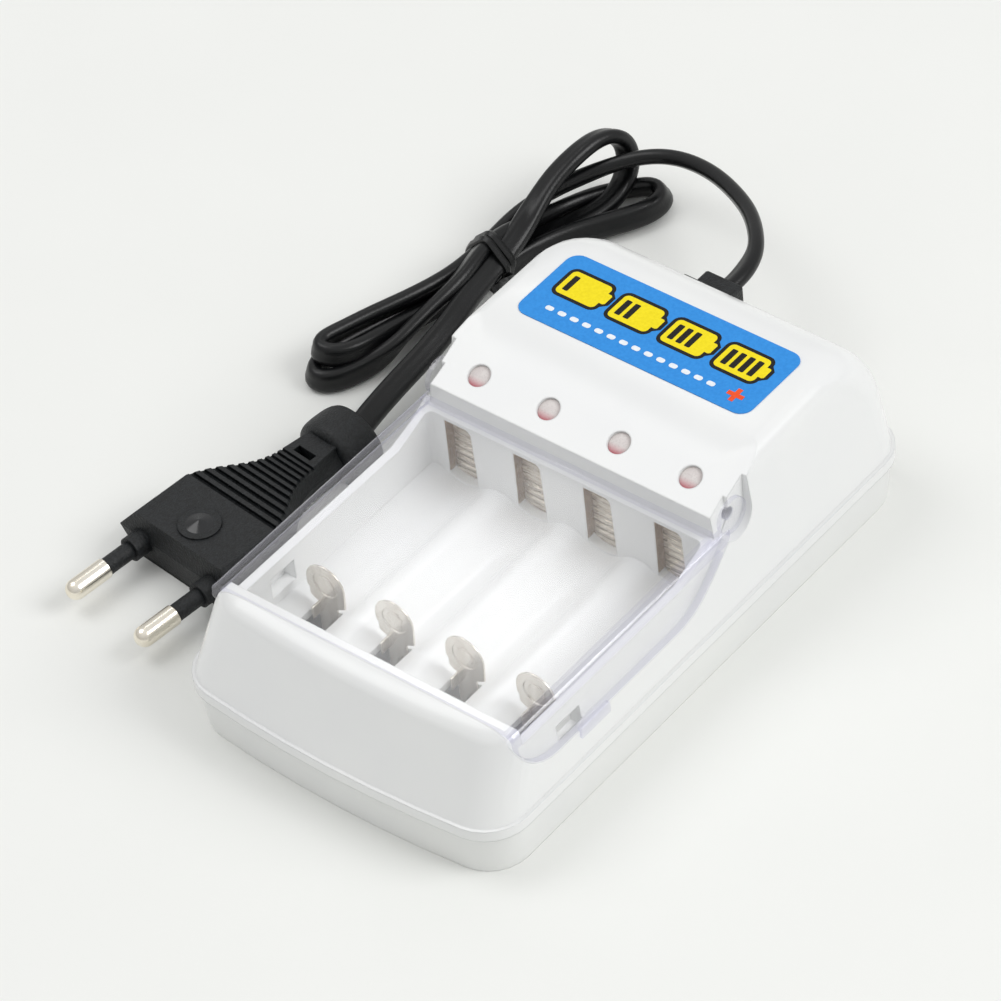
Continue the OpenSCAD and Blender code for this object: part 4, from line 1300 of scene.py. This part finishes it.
@dataclass
class PlugMoulding(SoftenedNode):
    """Plug body with a neck that thins, slim pin bosses and a collar that shrinks into a rounder one."""

    neck: Pair = (13.8, 33.0)
    neck_thin: float = 0.24
    boss_x: float = 9.1
    boss_r: float = 2.9
    boss_slim_r: float = 2.4
    boss_end: float = 1.5
    boss_slack: float = 0.03
    collar_y: float = 38.0
    collar_low: float = 1.15
    collar_r: float = 6.6
    collar_share: float = 0.8
    collar_rim: float = 1.5
    slack: float = 0.05

    def reshape(self, shape: bmesh.types.BMesh) -> None:
        """Moves the corners in the plug's own frame.

        Args:
            shape: Mesh of the plug.
        """
        shape.transform(PLUG_PLACE.inverted())
        for corner in shape.verts:
            corner.co = self.moved(corner.co / MM) * MM
        shape.transform(PLUG_PLACE)
        shape.normal_update()

    def moved(self, spot: Vector) -> Vector:
        """Gives a corner its new place.

        Args:
            spot: Place in the plug's own frame, in millimetres.

        Returns:
            The new place.
        """
        new = spot.copy()
        side = math.copysign(self.boss_x, spot.x)
        out = math.hypot(spot.x - side, spot.z)
        reach = math.hypot(spot.x, spot.z + self.collar_low)
        inside = spot.y > self.collar_y + self.collar_rim
        if inside or (spot.y > self.collar_y - self.slack and reach > self.collar_r - 2 * self.slack):
            new.x, new.z = spot.x * self.collar_share, spot.z * self.collar_share
        elif abs(out - self.boss_r) < self.boss_slack and spot.y < self.boss_end:
            new.x = side + (spot.x - side) * self.boss_slim_r / self.boss_r
            new.z = spot.z * self.boss_slim_r / self.boss_r
        elif spot.y > self.neck[0]:
            share = min(1.0, (spot.y - self.neck[0]) / (self.neck[1] - self.neck[0]))
            new.z = spot.z * (1 - self.neck_thin * share * share * (3 - 2 * share))
        return new


@dataclass
class PlugTrim:
    """Round cord collar and polished mould mark of the plug."""

    half_w: float = 7.7
    half_h: float = 6.5
    middle_z: float = -0.6
    low_z: float = -5.0
    along: Pair = (36.8, 45.4)
    flat_share: float = 0.74
    steps: int = 14
    around: int = 48
    mark_y: float = 6.5
    mark_z: float = 5.2
    mark_r: float = 2.9
    mark_h: float = 1.0
    mark_cone: tuple[Pair, ...] = ((1.0, 0.0), (0.15, 0.86), (0.04, 1.0))

    def build(self, finish: Material) -> list[Piece]:
        """Makes the collar and the mark.

        Args:
            finish: Material of the plug.

        Returns:
            Both pieces.
        """
        points = []
        for k in range(self.steps + 1):
            u = 2 * k / self.steps - 1
            share = self.flat_share + (1 - self.flat_share) * (1 - abs(u) ** 3) ** (1 / 3)
            y = (self.along[0] + self.along[1]) / 2 + u * (self.along[1] - self.along[0]) / 2
            for a in angles(self.around):
                z = self.half_h * share * math.sin(a) + self.middle_z
                points.append((self.half_w * share * math.cos(a), y, max(z, self.low_z)))
        collar = self.piece("plug_collar", points, finish)
        points = []
        for share, rise in self.mark_cone:
            r, z = self.mark_r * share, self.mark_z + self.mark_h * rise
            points += [(r * math.cos(a), self.mark_y + r * math.sin(a), z) for a in angles(self.around)]
        return [collar, self.piece("plug_mark", points, PLUG_POLISH.material())]

    def piece(self, name: str, points: list, finish: Material) -> Piece:
        """Skins rings of points into one closed piece.

        Args:
            name: Name of the piece.
            points: Corners in the plug's own frame, ring after ring, in millimetres.
            finish: Material.

        Returns:
            The piece.
        """
        corners = [PLUG_PLACE @ (Vector(p) * MM) for p in points]
        faces = ring_faces(len(points) // self.around, self.around)
        return fitted(solid(name, corners, faces, finish, smooth_to=50), "plug_black")


@dataclass
class Plug:
    """Two-pin plug and the grommet at the other end of the cord."""

    pin_edge_mm: float = 0.15
    grommet_edge_mm: float = 0.5

    def build(self) -> list[Piece]:
        """Makes the plug, its pins and the grommet.

        Returns:
            The pieces that go with the cord.
        """
        rubber = PLUG_PVC.material()
        body = PlugMoulding("plug_body", "plug_moulding", "plug_black", edge_angle=14).build(rubber)
        pins = SoftenedNode("plug_pins", "plug_pin_pair", "pin_nickel", edge_mm=self.pin_edge_mm).build(
            PIN_NICKEL.material()
        )
        grommet = SoftenedNode(
            "strain_relief", "cord_grommet", "plug_black", edge_mm=self.grommet_edge_mm
        ).build(rubber)
        return [body, pins, grommet, *PlugTrim().build(rubber)]


@dataclass(frozen=True)
class Lamp:
    """Square soft lamp that faces the object: its place and side in metres, and its watts."""

    name: str
    place: Triple
    side: float
    watts: float
    lights_matt: bool = True

    def hang(self) -> None:
        """Hangs the lamp."""
        light = bpy.data.lights.new(self.name, "AREA")
        light.shape = "SQUARE"
        light.size = self.side
        light.energy = self.watts
        lamp = bpy.data.objects.new(self.name, light)
        lamp.location = self.place
        lamp.rotation_mode = "QUATERNION"
        lamp.rotation_quaternion = (-Vector(self.place)).to_track_quat("-Z", "Y")
        lamp.visible_diffuse = self.lights_matt
        bpy.context.scene.collection.objects.link(lamp)


# A large key, a fill from above, and a small panel that only glossy faces mirror, such as the lid
LAMPS = (
    Lamp("key", (1.25, 0.55, 1.2), 0.9, 13.0),
    Lamp("top", (-0.7, -0.25, 1.3), 0.8, 4.5),
    Lamp("lid_glow", (-0.2516, 0.2415, 0.4066), 0.075, 0.055, lights_matt=False),
)


@dataclass
class Studio:
    """Pale floor, soft light and a camera at the photograph's viewpoint."""

    focal_px: float = 5610.62
    sensor_mm: float = 36.0
    right: Triple = (0.7808, 0.6196, -0.0809)
    up: Triple = (-0.3840, 0.5780, 0.7200)
    back: Triple = (0.4928, -0.5311, 0.6892)
    eye_mm: Triple = (476.4, -523.4, 699.3)
    sky: float = 0.77
    horizon: float = 0.46
    floor_half: float = 3.0
    clip: Pair = (0.05, 20.0)

    def build(self) -> None:
        """Sets up the camera, the floor and the lights."""
        self.camera()
        self.floor()
        self.lights()

    def camera(self) -> None:
        """Places the camera."""
        lens = bpy.data.cameras.new("camera")
        lens.sensor_width = self.sensor_mm
        lens.lens = self.focal_px / PHOTO_SIDE * self.sensor_mm
        lens.clip_start, lens.clip_end = self.clip
        view = bpy.data.objects.new("camera", lens)
        turn = Matrix((self.right, self.up, self.back)).transposed()
        view.matrix_world = Matrix.Translation(Vector(self.eye_mm) * MM) @ turn.to_4x4()
        bpy.context.scene.collection.objects.link(view)
        bpy.context.scene.camera = view

    def floor(self) -> None:
        """Makes the table top, which keeps the object's shadow."""
        h = self.floor_half
        mesh = bpy.data.meshes.new("floor")
        mesh.from_pydata([(-h, -h, 0), (h, -h, 0), (h, h, 0), (-h, h, 0)], [], [[0, 1, 2, 3]])
        new_piece("floor", mesh, TABLE_PAPER.material())

    def lights(self) -> None:
        """Sets an even sky that dims towards the horizon, and hangs the lamps."""
        scene = bpy.context.scene
        world = bpy.data.worlds.new("studio")
        world.use_nodes = True
        tree = world.node_tree
        backdrop = tree.nodes["Background"]
        backdrop.inputs["Color"].default_value = (1, 1, 1, 1)
        outlook = add_node(tree, "ShaderNodeTexCoord").outputs["Generated"]
        height = add_node(tree, "ShaderNodeSeparateXYZ", {"Vector": outlook}).outputs["Z"]
        dim = {"Value": height, "To Min": self.horizon, "To Max": self.sky}
        level = add_node(tree, "ShaderNodeMapRange", dim).outputs["Result"]
        tree.links.new(level, backdrop.inputs["Strength"])
        scene.world = world
        for lamp in LAMPS:
            lamp.hang()
        scene.view_settings.view_transform = "Standard"


def main() -> None:
    """Builds the charger, its cord and its studio."""
    logging.basicConfig(level=logging.INFO, format="%(message)s")
    Studio().build()
    Case().build()
    Lid().build()
    Contacts().build()
    Inside().build()
    Label().build()
    on_cord = Plug().build()
    cord = Cord()
    cord.lay()
    on_cord.append(Tie().build(cord.rings))
    cord.build(on_cord)


if __name__ == "__main__":
    main()
